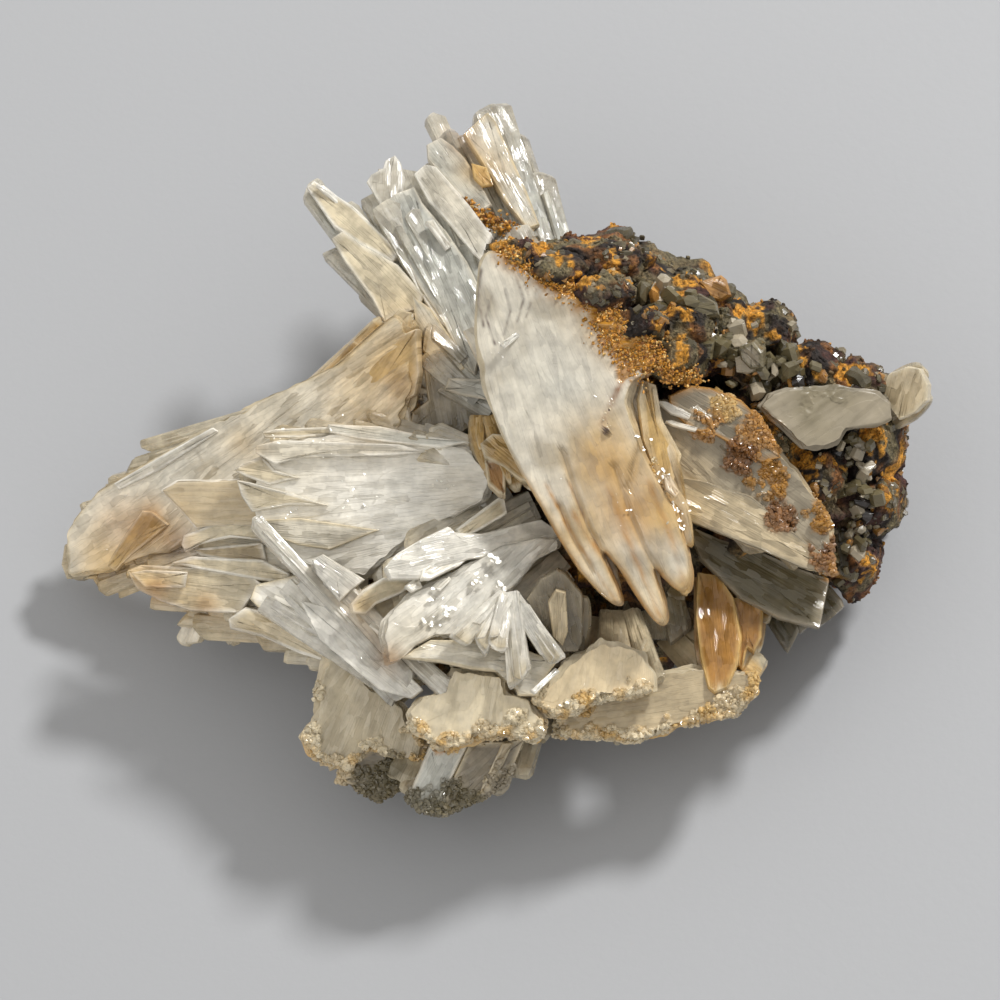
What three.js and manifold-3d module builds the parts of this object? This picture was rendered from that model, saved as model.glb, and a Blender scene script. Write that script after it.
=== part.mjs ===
// A barite specimen: sheaves of bladed barite crystals on an iron-oxide matrix that rests on its flat
// broken underside. All lengths are in millimetres and all angles in degrees.
import * as THREE from 'three';
import { mergeVertices } from 'three/addons/utils/BufferGeometryUtils.js';
import Module from 'manifold-3d';

const wasm = await Module();
wasm.setup();

// Driving dimensions. The crystals are laid out on the specimen's show face, with u to the right, v up
// the face and w out of it. The show face leans back from the level.
const FACE_LEAN = 25;
const FACE_HEIGHT = 20;
const BASE_CENTRE_X = 6;
const BASE_CENTRE_Y = 4;
const CONTACT_GAP = 0.3;
const EDGE_BEVEL = 0.32;
const ROOT_SHARE = 0.6;
const ROOT_START = 0.2;
const TIP_LENGTH = 1.15;
const TIP_SKEW = 0.35;
const ROCK_ROUGHNESS = 0.17;
const CUTTER = 120;

const lean = THREE.MathUtils.degToRad(FACE_LEAN);
const OUTWARD = new THREE.Vector3(0, -Math.sin(lean), Math.cos(lean));
const UPWARD = new THREE.Vector3(0, Math.cos(lean), Math.sin(lean));

/** The point of the part's own frame at u, v and w on the show face. */
function place([u, v, w]) {
  const point = new THREE.Vector3(u - BASE_CENTRE_X, -BASE_CENTRE_Y, FACE_HEIGHT);
  return point.addScaledVector(UPWARD, v).addScaledVector(OUTWARD, w);
}

/** Moves each corner of a convex anticlockwise outline out by a distance, square to both its edges. */
function offsetOutline(outline, distance) {
  return outline.map((corner, index) => {
    const before = outline.at(index - 1);
    const after = outline[(index + 1) % outline.length];
    const inward = new THREE.Vector2().subVectors(corner, before).normalize();
    const onward = new THREE.Vector2().subVectors(after, corner).normalize();
    const first = new THREE.Vector2(inward.y, -inward.x);
    const second = new THREE.Vector2(onward.y, -onward.x);
    const mitre = first.clone().add(second).divideScalar(1 + first.dot(second));
    return corner.clone().addScaledVector(mitre, distance);
  });
}

/** Turns a closed geometry into a solid that can be joined and cut. */
function toSolid(geometry) {
  const bare = geometry.clone();
  bare.deleteAttribute('normal');
  bare.deleteAttribute('uv');
  const merged = mergeVertices(bare, 1e-5);
  const mesh = new wasm.Mesh({
    numProp: 3,
    vertProperties: new Float32Array(merged.attributes.position.array),
    triVerts: new Uint32Array(merged.index.array),
  });
  return new wasm.Manifold(mesh);
}

/** Joins rings of equal count, each anticlockwise seen from the last, into one closed solid. */
function loft(rings) {
  const count = rings[0].length;
  const points = rings.flat();
  const index = [];
  const last = (rings.length - 1) * count;
  for (let corner = 1; corner < count - 1; corner += 1) {
    index.push(0, corner + 1, corner);
    index.push(last, last + corner, last + corner + 1);
  }
  for (let ring = 0; ring < rings.length - 1; ring += 1) {
    for (let corner = 0; corner < count; corner += 1) {
      const low = ring * count + corner;
      const next = ring * count + ((corner + 1) % count);
      index.push(low, next, next + count);
      index.push(low, next + count, low + count);
    }
  }
  const geometry = new THREE.BufferGeometry().setFromPoints(points);
  geometry.setIndex(index);
  return toSolid(geometry);
}

/** A tabular crystal: a flat outline given thickness, its rim bevelled towards its outer face. */
function tablet(outline, toSpace, normal, thick, grow) {
  const back = offsetOutline(outline, grow);
  const face = offsetOutline(outline, grow - EDGE_BEVEL * thick);
  const lift = (rim, height) => rim.map((corner) => toSpace(corner).addScaledVector(normal, height));
  return loft([lift(back, -thick / 2 - grow), lift(face, thick / 2 + grow)]);
}

/**
 * One blade. It lies on the line from the heart that its sheaf fans out from to its own pointed tip, and
 * begins a share of that line away from the heart. Roll turns its broad face about its length.
 */
function blade([heart, tip, wide, thick, roll = 0], grow) {
  const start = place(heart).lerp(place(tip), ROOT_START);
  const axis = place(tip).sub(start);
  const length = axis.length();
  axis.normalize();
  const normal = OUTWARD.clone().addScaledVector(axis, -OUTWARD.dot(axis)).normalize();
  normal.applyAxisAngle(axis, THREE.MathUtils.degToRad(roll));
  const side = new THREE.Vector3().crossVectors(normal, axis);
  const half = wide / 2;
  const skew = TIP_SKEW * Math.sin(7 * heart[0] + 5 * tip[1]);
  const point = Math.min(TIP_LENGTH * wide, 0.4 * length);
  const outline = [
    new THREE.Vector2(0, -half * ROOT_SHARE),
    new THREE.Vector2(length - point * (1 - skew), -half),
    new THREE.Vector2(length, half * skew),
    new THREE.Vector2(length - point * (1 + skew), half),
    new THREE.Vector2(0, half * ROOT_SHARE),
  ];
  const toSpace = (corner) => {
    return start.clone().addScaledVector(axis, corner.x).addScaledVector(side, corner.y);
  };
  return tablet(outline, toSpace, normal, thick, grow);
}

/** One broad plate. Its corners run anticlockwise, and w rises by slope for each step along u and v. */
function plate({ corners, depth, slope = [0, 0], thick }, grow) {
  const centre = new THREE.Vector2();
  corners.forEach(([u, v]) => centre.add(new THREE.Vector2(u, v)));
  centre.divideScalar(corners.length);
  const toSpace = ({ x, y }) => {
    return place([x, y, depth + slope[0] * (x - centre.x) + slope[1] * (y - centre.y)]);
  };
  const middle = toSpace(centre);
  const along = toSpace(new THREE.Vector2(centre.x + 1, centre.y)).sub(middle);
  const across = toSpace(new THREE.Vector2(centre.x, centre.y + 1)).sub(middle);
  const normal = along.cross(across).normalize();
  const outline = corners.map(([u, v]) => new THREE.Vector2(u, v));
  return tablet(outline, toSpace, normal, thick, grow);
}

/** A steady value between -1 and 1 for each seed. */
function chance(seed) {
  const wave = Math.sin(seed * 12.9898) * 43758.5453;
  return 2 * (wave - Math.floor(wave)) - 1;
}

/** One rough lump of rock: a coarse ball with uneven corners. */
function lump([centre, radii, detail = 0], grow) {
  const ball = new THREE.IcosahedronGeometry(1, detail);
  ball.deleteAttribute('normal');
  ball.deleteAttribute('uv');
  const geometry = mergeVertices(ball, 1e-4);
  const corners = geometry.attributes.position;
  const middle = place(centre);
  const reach = new THREE.Vector3(...radii).addScalar(grow * 1.3);
  for (let corner = 0; corner < corners.count; corner += 1) {
    const unevenness = 1 + ROCK_ROUGHNESS * chance(corner + 3.1 * centre[0] + 1.7 * centre[1]);
    const arm = new THREE.Vector3().fromBufferAttribute(corners, corner);
    arm.multiply(reach).multiplyScalar(unevenness).add(middle);
    corners.setXYZ(corner, arm.x, arm.y, arm.z);
  }
  return toSolid(geometry);
}

// Each crystal is its root, its tip, its width, its thickness and, where it isn't face on, its roll.
const upperLeftSheaf = {
  name: 'upper_left_sheaf',
  colour: 0xb9bdb0,
  blades: [
    [[-5, 11, -6], [-18.0, 29.4, -15], 2.6, 1.2, 20],
    [[-4, 12, -5], [-14.8, 27.0, -13], 3.0, 1.4, -15],
    [[-4, 11, -5], [-15.3, 23.5, -12], 3.2, 1.5, 10],
    [[-3, 10, -4], [-12.4, 20.0, -10], 3.2, 1.6, -10],
    [[-1, 9, -3], [-11.9, 30.0, -14], 4.4, 1.5, 8],
    [[0, 11, -3], [-9.6, 31.8, -14], 4.8, 1.6, -8],
    [[0.5, 8, -1.5], [-10.5, 27.8, -11], 4.2, 1.6, 14],
    [[0.5, 13, -3], [-6.2, 27.5, -12], 4.4, 1.6, -14],
    [[-0.5, 9, -2], [-7.7, 15.6, -4], 2.6, 1.4, 18],
    [[-0.5, 7.5, -2], [-7.2, 13.8, -3], 2.5, 1.4, -12],
    [[0.5, 7, -2], [-5.6, 10.9, -3], 2.4, 1.4, 16],
  ],
};

const upperPrisms = {
  name: 'upper_prisms',
  colour: 0xb4ae9f,
  blades: [
    [[3.8, 14, -5.8], [-7.0, 30.8, -15], 3.4, 1.8, 6],
    [[3.5, 15, -7], [-5.5, 33.8, -17], 2.8, 2.0, -20],
    [[0, 22, -11], [-6.3, 35.6, -18.5], 2.0, 1.6, 25],
    [[6, 15, -7], [-1.3, 36.2, -18], 3.8, 3.2, 20],
    [[7, 16, -8], [0.8, 34.8, -18], 2.4, 2.0, -25],
    [[5, 16, -7], [-3.3, 34.0, -17], 2.2, 2.0, 10],
    [[7.5, 16, -8], [3.5, 30.2, -15], 2.6, 2.0, 22],
    [[7, 11, -6.7], [0.6, 25.2, -10.4], 4.2, 2.2, -6],
  ],
};

const mainBlade = {
  name: 'main_blade',
  colour: 0xc3bdb0,
  plates: [
    {
      corners: [[-0.9, 23.0], [-2, 15.3], [-0.2, 7.0], [4.4, -1.0], [8.6, -2.6], [13.2, 2.4],
        [15.0, 9.9], [12.6, 14.9], [2.3, 20.3]],
      depth: 4.6,
      slope: [0.04, 0.02],
      thick: 2.6,
    },
  ],
  blades: [
    [[-3.0, 22, 3.0], [8.4, -7.2, 4.0], 4.2, 1.8, 6],
    [[-0.6, 24, 2.6], [11.3, -10.0, 5.2], 4.6, 2.2, -4],
    [[3.2, 24, 2.4], [14.9, -11.8, 6.4], 4.2, 2.4, 5],
    [[7.4, 20, 2.6], [17.0, -9.1, 6.0], 4.2, 2.4, -8],
    [[8.5, 18, 3.0], [16.4, -1.5, 5.2], 4.0, 2.2, 10],
  ],
};

const honeyCluster = {
  name: 'honey_cluster',
  colour: 0xb08a55,
  blades: [
    [[-2.5, 9, -2], [0.2, 0.3, 1.8], 2.6, 1.6, 10],
    [[-1.5, 9, -2], [1.7, 0.6, 2.2], 2.8, 1.8, -15],
    [[-1, 9, -2], [3.1, 0.8, 2.0], 2.6, 1.6, 20],
    [[-2, 9, -2], [-1.7, 3.2, 0.8], 2.4, 1.6, -10],
  ],
};

const innerCrystals = {
  name: 'inner_crystals',
  colour: 0x8f8c80,
  blades: [
    [[3, 5.5, -6.5], [-8.6, 9.0, -4.6], 5.0, 1.8, 8],
    [[3, 3.5, -6.5], [-7.4, 6.2, -4.4], 4.6, 1.8, -10],
    [[3, 8, -6.5], [-6.4, 11.6, -5.0], 4.4, 1.8, 6],
  ],
};

const leftWing = {
  name: 'left_wing',
  colour: 0xb3a690,
  plates: [
    {
      corners: [[-9.2, 17.8], [-15.5, 11.4], [-14.0, 6.0], [-8.4, 7.8], [-7.0, 10.8], [-7.0, 13.8],
        [-7.4, 16.0]],
      depth: -3.4,
      slope: [0.36, -0.02],
      thick: 2.4,
    },
    {
      corners: [[-30, 4.9], [-37.0, 0.6], [-39.6, -4.0], [-36.5, -6.6], [-20, -4], [-11, 4.4],
        [-11.6, 11.6], [-14.8, 11.4], [-21.5, 9.0]],
      depth: -9.6,
      slope: [0.36, -0.02],
      thick: 2.0,
    },
  ],
  blades: [
    [[-8, 11.5, -2.6], [-34.6, 2.7, -12.6], 3.8, 1.8, 6],
    [[-8, 9.5, -2.4], [-37.6, 0.5, -13.6], 3.6, 1.8, -5],
    [[-8, 8, -2.4], [-39.6, -1.7, -14.4], 3.4, 1.8, 8],
    [[-8, 6.5, -2.6], [-40.9, -4.3, -15.0], 3.6, 1.8, -4],
    [[-9, 4, -3.2], [-40.3, -7.4, -15.0], 3.4, 1.8, 7],
    [[-10, 2, -4], [-37.2, -8.4, -13.6], 3.0, 1.8, -6],
    [[-11, 0.6, -4.6], [-35.2, -6.9, -11.8], 2.8, 1.8, 12],
  ],
};

const middleFan = {
  name: 'middle_fan',
  colour: 0xc9c3ae,
  plates: [
    {
      corners: [[-30.9, 0.9], [-27.6, -2.8], [-20, -2.6], [-17, 0.5], [-22, 2.2], [-29.5, 1.9]],
      depth: -4.6,
      slope: [0.08, 0],
      thick: 1.4,
    },
  ],
  blades: [
    [[3.4, 2.6, -1.6], [-15.4, 7.1, -2.6], 3.8, 1.6, 18],
    [[3.4, 2.2, -1.6], [-21.7, 6.0, -3.8], 4.0, 1.6, 12],
    [[3.4, 1.8, -1.2], [-22.6, 4.2, -3.8], 4.6, 1.8, -6],
    [[3.4, 1.4, -1.0], [-24.4, 2.2, -4.0], 4.8, 1.8, 8],
    [[3.4, 1.0, -0.8], [-24.0, 0.2, -3.8], 4.8, 1.8, -8],
    [[3.4, 0.6, -0.8], [-22.2, -2.0, -3.4], 4.6, 1.8, 7],
    [[3.4, -0.4, -1.0], [-15.4, -6.4, -1.8], 5.2, 1.8, 8],
    [[2.4, 2.4, -1.6], [-9.5, 6.2, 0.4], 3.4, 1.6, 20],
  ],
};

const lowerLeftBlades = {
  name: 'lower_left_blades',
  colour: 0xc7ad7c,
  blades: [
    [[-5, -6.4, -4], [-29.1, -3.9, -6.0], 3.4, 1.6, 10],
    [[-4, -9.0, -4], [-34.1, -6.8, -7.4], 3.6, 1.6, 8],
    [[-4, -10.4, -4], [-33.6, -8.0, -7.2], 3.2, 1.6, -8],
    [[-4, -11.6, -4], [-31.4, -9.5, -6.8], 3.2, 1.6, 10],
    [[-4, -12.8, -4], [-29.4, -10.5, -6.2], 3.2, 1.6, -6],
    [[-3, -13.8, -4], [-24.9, -11.7, -5.0], 3.2, 1.8, 10],
    [[-3, -14.8, -3.6], [-22.2, -12.7, -4.0], 3.2, 1.8, -10],
    [[-2, -15.8, -3.4], [-20.0, -13.6, -3.2], 3.2, 1.8, 8],
    [[-25.5, -7.0, -6.2], [-28.9, -14.4, -8.6], 2.2, 1.3, 30],
    [[-23.2, -9, -5.2], [-24.8, -13.6, -7.0], 1.8, 1.2, -20],
  ],
};

const crossingBlades = {
  name: 'crossing_blades',
  colour: 0xbcc0c0,
  blades: [
    [[-6, -19, 2.2], [-23.1, -0.7, 0.4], 1.6, 1.4, 15],
    [[-20.5, -3.4, -0.6], [-7.4, -17.9, 2.8], 3.4, 1.6, 10],
    [[-24.8, -7.2, -2.8], [-9.4, -16.8, 2.0], 2.6, 1.6, -12],
    [[-22.5, -4.6, -1.8], [-8.6, -18.0, 1.8], 2.4, 1.6, 14],
    [[-8.0, -13.6, 2.2], [-17.1, -4.8, 1.0], 2.0, 1.6, -20],
    [[-13.5, -9.0, 1.0], [-4.0, -17.8, 3.6], 2.0, 1.5, -15],
  ],
};

const frontFan = {
  name: 'front_fan',
  colour: 0xcac4b2,
  blades: [
    [[5.0, 1.8, -3], [-10.2, -5.9, 2.4], 4.0, 1.8, 14],
    [[6.4, 1.6, -3], [-8.2, -6.8, 4.2], 3.6, 1.8, -10],
    [[7.0, 0.6, -3], [-13.6, -9.6, 2.8], 4.2, 1.8, 8],
    [[7.4, -0.2, -3], [-12.1, -10.8, 4.0], 4.0, 1.8, -10],
    [[7.8, -1.0, -3], [-11.1, -12.1, 4.6], 4.0, 1.8, 12],
    [[8.0, -1.8, -3], [-10.2, -14.9, 4.8], 4.2, 2.0, -5],
    [[8.2, -2.6, -3], [-7.7, -14.3, 5.2], 4.2, 2.0, 10],
    [[8.4, -3.2, -3], [-4.6, -15.6, 4.6], 4.6, 2.0, -12],
  ],
};

const frontPrisms = {
  name: 'front_prisms',
  colour: 0xc4bda6,
  blades: [
    [[0.6, -5.5, 3.4], [1.9, -17.4, 6.4], 2.4, 1.8, 12],
    [[1.6, -7.4, 3.6], [-4.1, -12.9, 6.6], 1.9, 1.4, -20],
    [[1.6, -7.2, 3.6], [-2.2, -13.9, 7.0], 1.9, 1.4, 15],
    [[0.8, -7.0, 3.6], [-0.4, -13.7, 7.2], 1.9, 1.4, -12],
    [[0.2, -7.2, 3.2], [5.5, -14.8, 5.8], 1.8, 1.5, 25],
  ],
};

const uprightCrystals = {
  name: 'upright_crystals',
  colour: 0xa79c7c,
  blades: [
    [[4.4, -17.5, 0.6], [5.4, -6.0, 4.0], 4.0, 2.0, 8],
    [[6.2, -17, 0.4], [7.4, -8.4, 3.2], 2.6, 1.8, -12],
  ],
};

const lowerLeftPlate = {
  name: 'lower_left_plate',
  colour: 0x9a9890,
  plates: [
    {
      corners: [[-14.4, -13.2], [-16.4, -15.4], [-17.2, -19.2], [-18.2, -21.5], [-14.8, -25.2],
        [-11, -27.0], [-8.4, -26.0], [-3.6, -19], [-5.8, -13.4]],
      depth: -1.6,
      slope: [-0.06, 0.1],
      thick: 2.2,
    },
  ],
  blades: [
    [[-4, -12, -5], [-16.9, -23.4, -1.4], 4.2, 2.0, 10],
    [[-2, -14, -5], [-9.0, -26.4, 0.0], 4.4, 2.2, 10],
  ],
};

const frontPlate = {
  name: 'front_plate',
  colour: 0xc0a679,
  plates: [
    {
      corners: [[-8.8, -18.4], [-8.2, -20.8], [-5.9, -22.6], [-2.6, -21.9], [1.8, -21.2],
        [1.6, -18], [0.8, -15.6], [-4.2, -16.2]],
      depth: 3.4,
      slope: [0, -0.12],
      thick: 2.6,
    },
  ],
  blades: [
    [[0, -12, -4], [-6.4, -22.2, 3.6], 3.6, 2.2, -8],
    [[2, -12, -4], [-1.0, -22.0, 3.8], 4.0, 2.2, 8],
    [[3, -13, -4], [2.0, -21.0, 3.4], 3.0, 2.2, 12],
  ],
};

const lowerPrisms = {
  name: 'lower_prisms',
  colour: 0x93785a,
  blades: [
    [[1, -13, -5], [-8.4, -27.3, -0.6], 3.2, 2.4, 15],
    [[2, -14, -5], [-6.6, -28.7, 0.2], 3.4, 2.6, -10],
    [[3, -14, -5], [-3.8, -28.2, 0.6], 3.4, 2.6, 12],
    [[4, -14, -5], [-1.4, -27.1, 0.4], 3.2, 2.6, -15],
    [[5, -14, -5], [1.0, -25.4, 0], 3.2, 2.4, 10],
    [[6, -14, -5], [2.6, -22.4, -0.6], 2.8, 2.4, -12],
  ],
};

const honeyPlate = {
  name: 'honey_plate',
  colour: 0xb5966a,
  plates: [
    {
      corners: [[7.2, -12.6], [3.6, -17.4], [4.0, -18.6], [6.5, -19.0], [10, -18.4], [14.4, -17.2],
        [14.5, -15.6], [12.6, -13.5], [9.3, -11.7]],
      depth: 2.8,
      slope: [-0.08, -0.1],
      thick: 2.4,
    },
  ],
  blades: [
    [[9, -8, -5], [6.5, -18.8, 3.0], 3.4, 2.2, 8],
    [[10, -8, -5], [10.6, -18.2, 2.8], 3.6, 2.2, -10],
    [[11, -8, -5], [13.6, -17.3, 2.2], 3.2, 2.2, 12],
  ],
};

const lowerRightPlate = {
  name: 'lower_right_plate',
  colour: 0xa18a70,
  plates: [
    {
      corners: [[4.5, -19.6], [4.6, -21.3], [11.8, -22.0], [18, -20.2], [21.8, -19.4], [23.2, -17.6],
        [23.6, -15.6], [17.5, -14.6], [8, -16]],
      depth: -0.8,
      slope: [-0.05, -0.05],
      thick: 2.4,
    },
  ],
  blades: [
    [[8, -11, -7], [12.0, -21.9, -0.6], 3.6, 2.2, 10],
    [[13, -10, -7], [22.0, -19.4, -1.4], 3.4, 2.2, 8],
    [[14, -9, -7], [24.0, -16.0, -1.8], 3.2, 2.2, -12],
  ],
};

const hangingBlades = {
  name: 'hanging_blades',
  colour: 0xc79b58,
  blades: [
    [[18.6, -3, -6], [19.2, -17.9, -0.4], 3.4, 1.8, 8],
    [[20.0, -3, -6], [20.4, -17.2, -1.2], 3.0, 1.8, -15],
    [[21.4, -3, -6.4], [21.8, -15.5, -2.0], 2.4, 1.6, 20],
    [[22.6, -3, -6.6], [23.1, -14.2, -2.6], 2.8, 1.8, -10],
    [[22.8, -2.6, -6.8], [24.2, -11.4, -3.4], 2.4, 1.6, 15],
  ],
};

const rightBlades = {
  name: 'right_blades',
  colour: 0x8d7d68,
  plates: [
    {
      corners: [[13.6, 9], [12.6, 2], [15.4, -1.4], [21.6, -3.9], [27, -6.1], [30.4, -7.2],
        [30.2, -2], [27, 3], [23, 7.2], [19.8, 9.6]],
      depth: 0,
      slope: [-0.14, 0.05],
      thick: 2.4,
    },
  ],
  blades: [
    [[14, 7, -3], [27.4, -6.2, -0.6], 4.2, 2.2, 10],
    [[15, 8, -3], [30.6, -7.2, -1.6], 4.4, 2.2, -6],
    [[17, 9, -3], [30.8, -4.4, -1.8], 4.2, 2.2, 8],
  ],
};

const underBlades = {
  name: 'under_blades',
  colour: 0x6f5f43,
  blades: [
    [[17, 0, -9], [24.6, -9.9, -4.4], 4.4, 2.0, 10],
    [[18, 1, -9], [28.5, -14.1, -5.2], 4.2, 2.2, -8],
    [[20, 1, -9], [30.2, -12.6, -6.2], 4.2, 2.2, 8],
    [[22, 1, -9], [30.8, -9.4, -6.6], 4.0, 2.2, -10],
  ],
};

const gapCrystals = {
  name: 'gap_crystals',
  colour: 0x6a665c,
  blades: [
    [[11, -2, -9], [4.6, -6.4, -3.4], 3.4, 1.8, 10],
    [[11, -2, -9], [7.6, -8.2, -3.0], 3.6, 1.8, -12],
    [[12, -2, -9], [10.4, -9.6, -3.2], 3.8, 1.8, 8],
    [[13, -2, -9], [13.6, -10.4, -3.6], 3.8, 1.8, -8],
    [[14, -2, -9], [16.8, -9.8, -4.2], 3.4, 1.8, 12],
    [[12.5, -3, -9], [12.0, -12.8, -3.6], 2.8, 1.6, -15],
  ],
};

const backSheaf = {
  name: 'back_sheaf',
  colour: 0xa9a493,
  blades: [
    [[-2, 10, -12], [-14.0, 17.0, -20.0], 4.4, 2.0, 10],
    [[-1, 11, -13], [-11.0, 20.5, -22.5], 4.4, 2.0, -10],
    [[0, 12, -13], [-7.0, 23.5, -24.0], 4.6, 2.2, 8],
    [[1, 12, -13], [-2.6, 25.5, -24.5], 4.6, 2.2, -12],
    [[2, 12, -13], [2.4, 26.0, -24.0], 4.4, 2.2, 10],
    [[3, 12, -14], [7.0, 25.0, -24.5], 4.2, 2.0, -8],
    [[-3, 8, -12], [-15.5, 12.5, -18.5], 4.2, 2.0, -8],
  ],
};

const edgeCrystal = {
  name: 'edge_crystal',
  colour: 0xc09a62,
  blades: [
    [[32.5, 6.5, -7.4], [38.6, 12.1, -5.4], 3.8, 2.4, 12],
    [[33, 5.8, -7.6], [39.0, 9.8, -5.8], 3.4, 2.4, -10],
  ],
};

const crustPlate = {
  name: 'crust_plate',
  colour: 0x6b645c,
  plates: [
    {
      corners: [[23.1, 8.3], [24.8, 6.0], [27.5, 4.3], [30.4, 5.1], [35.4, 7.4], [35.6, 9.0],
        [31.5, 10.8], [27, 10.4]],
      depth: -0.4,
      slope: [-0.16, 0],
      thick: 2.0,
    },
  ],
};

// Each rock lump is its centre, its radii along the part's own X, Y and Z, and how finely it is cut.
const matrixLumps = [
  [[14, 2, -13], [17, 13, 12], 1],
  [[25, 1, -12], [11, 10, 10]],
  [[2, -4, -14], [16, 13, 10]],
  [[11, 14, -10], [10, 8, 11]],
  [[-6, 0, -13], [10, 9, 8]],
  [[8, -9, -13], [12, 8, 7]],
  [[6.0, 20.4, -4.0], [3.0, 3.0, 4.0]],
  [[9.6, 21.6, -4.6], [3.4, 3.0, 4.0]],
  [[12.6, 19.0, -3.4], [3.6, 3.2, 4.2]],
  [[16.6, 16.8, -3.4], [3.8, 3.4, 4.4]],
  [[19.6, 14.4, -3.6], [3.6, 3.4, 4.4]],
  [[23.8, 14.8, -5.4], [3.4, 3.0, 4.0]],
  [[27.6, 11.2, -5.6], [3.8, 3.4, 4.6]],
  [[31.8, 8.8, -6.4], [3.8, 3.4, 4.6]],
  [[33.6, 4.4, -8.4], [3.4, 3.8, 5.0]],
  [[33.4, -0.6, -9.4], [3.4, 3.6, 5.0]],
  [[31.8, -5.6, -9.6], [3.0, 3.6, 5.0]],
  [[24.0, 6.0, -5.0], [5.0, 4.4, 5.0]],
  [[28.6, 1.6, -5.6], [3.6, 3.8, 4.6]],
  [[7.0, 20.4, 0.2], [7.0, 2.6, 4.6]],
  [[15.0, 14.4, 0.4], [4.8, 3.2, 4.8]],
  [[2.2, 21.4, 3.4], [3.0, 1.6, 3.4]],
  [[5.4, 20.0, 4.0], [2.8, 1.7, 3.8]],
  [[9.2, 17.8, 4.2], [3.0, 1.8, 4.0]],
  [[12.6, 15.2, 4.2], [2.8, 1.8, 4.0]],
  [[15.8, 12.2, 3.6], [2.8, 1.9, 4.0]],
];

// Short blocky crystals that stand on the rock.
const matrixCrystals = [
  [[17.0, 13.0, -5.0], [20.6, 20.5, -3.0], 2.8, 2.2, 20],
  [[15.6, 12.0, -6.0], [18.4, 18.6, 0.6], 3.2, 2.6, 30],
  [[10.0, 17.0, -7.0], [10.7, 25.1, -3.2], 2.6, 2.2, -25],
  [[30.4, 3.0, -8.0], [31.4, -7.8, -5.0], 2.2, 1.8, -20],
  [[24.0, 8.0, -6.0], [26.6, 14.6, -1.2], 2.8, 2.2, 25],
  [[29.0, 4.0, -9.0], [32.8, 11.8, -3.0], 2.6, 2.2, -20],
];

/** Joins solids into one. */
function join(solids) {
  return solids.reduce((whole, next) => whole.add(next));
}

/** The largest of the separate bodies that a solid falls into. */
function largestBody(solid) {
  return solid.decompose().reduce((best, next) => (next.volume() > best.volume() ? next : best));
}

/** The joined crystals of a sheaf, each grown on all sides by the given distance. */
function crystals({ plates = [], blades = [] }, grow) {
  return join([
    ...plates.map((item) => plate(item, grow)),
    ...blades.map((item) => blade(item, grow)),
  ]);
}

/** The rock with its small crystals, cut off flat at the level that it rests on. */
function rock(grow) {
  const floorCut = new THREE.BoxGeometry(CUTTER, CUTTER, CUTTER);
  floorCut.translate(0, 0, -CUTTER / 2);
  const rough = join([
    ...matrixLumps.map((item) => lump(item, grow)),
    ...matrixCrystals.map((item) => blade(item, grow)),
  ]);
  return largestBody(rough.subtract(toSolid(floorCut)));
}

/** A named mesh of a solid. */
function toMesh(name, solid, colour, roughness) {
  const { vertProperties, triVerts } = solid.getMesh();
  const geometry = new THREE.BufferGeometry();
  geometry.setAttribute('position', new THREE.BufferAttribute(vertProperties, 3));
  geometry.setIndex(new THREE.BufferAttribute(triVerts, 1));
  const material = new THREE.MeshStandardMaterial({ color: colour, roughness, metalness: 0 });
  const mesh = new THREE.Mesh(geometry, material);
  mesh.name = name;
  return mesh;
}

// Each sheaf is cut clear of the rock and of the sheaves listed before it.
const sheaves = [
  mainBlade, upperLeftSheaf, upperPrisms, leftWing, frontPrisms, crossingBlades, frontFan, middleFan,
  lowerLeftBlades, uprightCrystals, honeyCluster, innerCrystals,
  frontPlate, honeyPlate, lowerLeftPlate, lowerPrisms, lowerRightPlate,
  hangingBlades, rightBlades, underBlades, gapCrystals, backSheaf, edgeCrystal, crustPlate,
];

const group = new THREE.Group();
group.add(toMesh('matrix', rock(0), 0x5b4030, 0.9));
const cleared = [rock(CONTACT_GAP)];
for (const sheaf of sheaves) {
  const free = cleared.reduce((solid, taken) => solid.subtract(taken), crystals(sheaf, 0));
  group.add(toMesh(sheaf.name, largestBody(free), sheaf.colour, 0.25));
  cleared.push(crystals(sheaf, CONTACT_GAP));
}

export default group;
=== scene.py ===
"""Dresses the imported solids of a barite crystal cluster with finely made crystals, crusts and rock."""

import math

import bpy
import numpy as np
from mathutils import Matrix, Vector


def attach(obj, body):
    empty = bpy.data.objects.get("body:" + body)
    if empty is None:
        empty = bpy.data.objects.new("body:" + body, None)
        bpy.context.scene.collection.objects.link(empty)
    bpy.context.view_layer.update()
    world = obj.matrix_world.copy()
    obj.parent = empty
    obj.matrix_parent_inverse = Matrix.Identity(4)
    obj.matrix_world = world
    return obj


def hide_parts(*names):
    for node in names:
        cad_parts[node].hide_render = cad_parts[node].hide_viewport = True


bl_info = {
    "name": "Barite Crystal Cluster",
    "version": (1, 0, 0),
    "blender": (4, 5, 0),
    "location": "3D View > Sidebar > Barite",
    "description": "Builds bladed barite crystals on iron-oxide rock over a packed frame",
    "category": "Add Mesh",
}

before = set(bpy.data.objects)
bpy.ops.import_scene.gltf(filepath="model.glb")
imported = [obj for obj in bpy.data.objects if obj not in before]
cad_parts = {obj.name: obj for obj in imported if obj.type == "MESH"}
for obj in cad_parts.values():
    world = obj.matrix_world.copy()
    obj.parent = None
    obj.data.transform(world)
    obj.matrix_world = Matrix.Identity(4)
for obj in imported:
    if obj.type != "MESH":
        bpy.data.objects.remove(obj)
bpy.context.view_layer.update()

# The layout of the part's source: u runs right, v up and w out of the show face, in millimetres.
FACE_LEAN = math.radians(25)
FACE_ORIGIN = np.array([-6.0, -4.0, 20.0])
RIGHTWARD = np.array([1.0, 0.0, 0.0])
UPWARD = np.array([0.0, math.cos(FACE_LEAN), math.sin(FACE_LEAN)])
OUTWARD = np.array([0.0, -math.sin(FACE_LEAN), math.cos(FACE_LEAN)])
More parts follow.
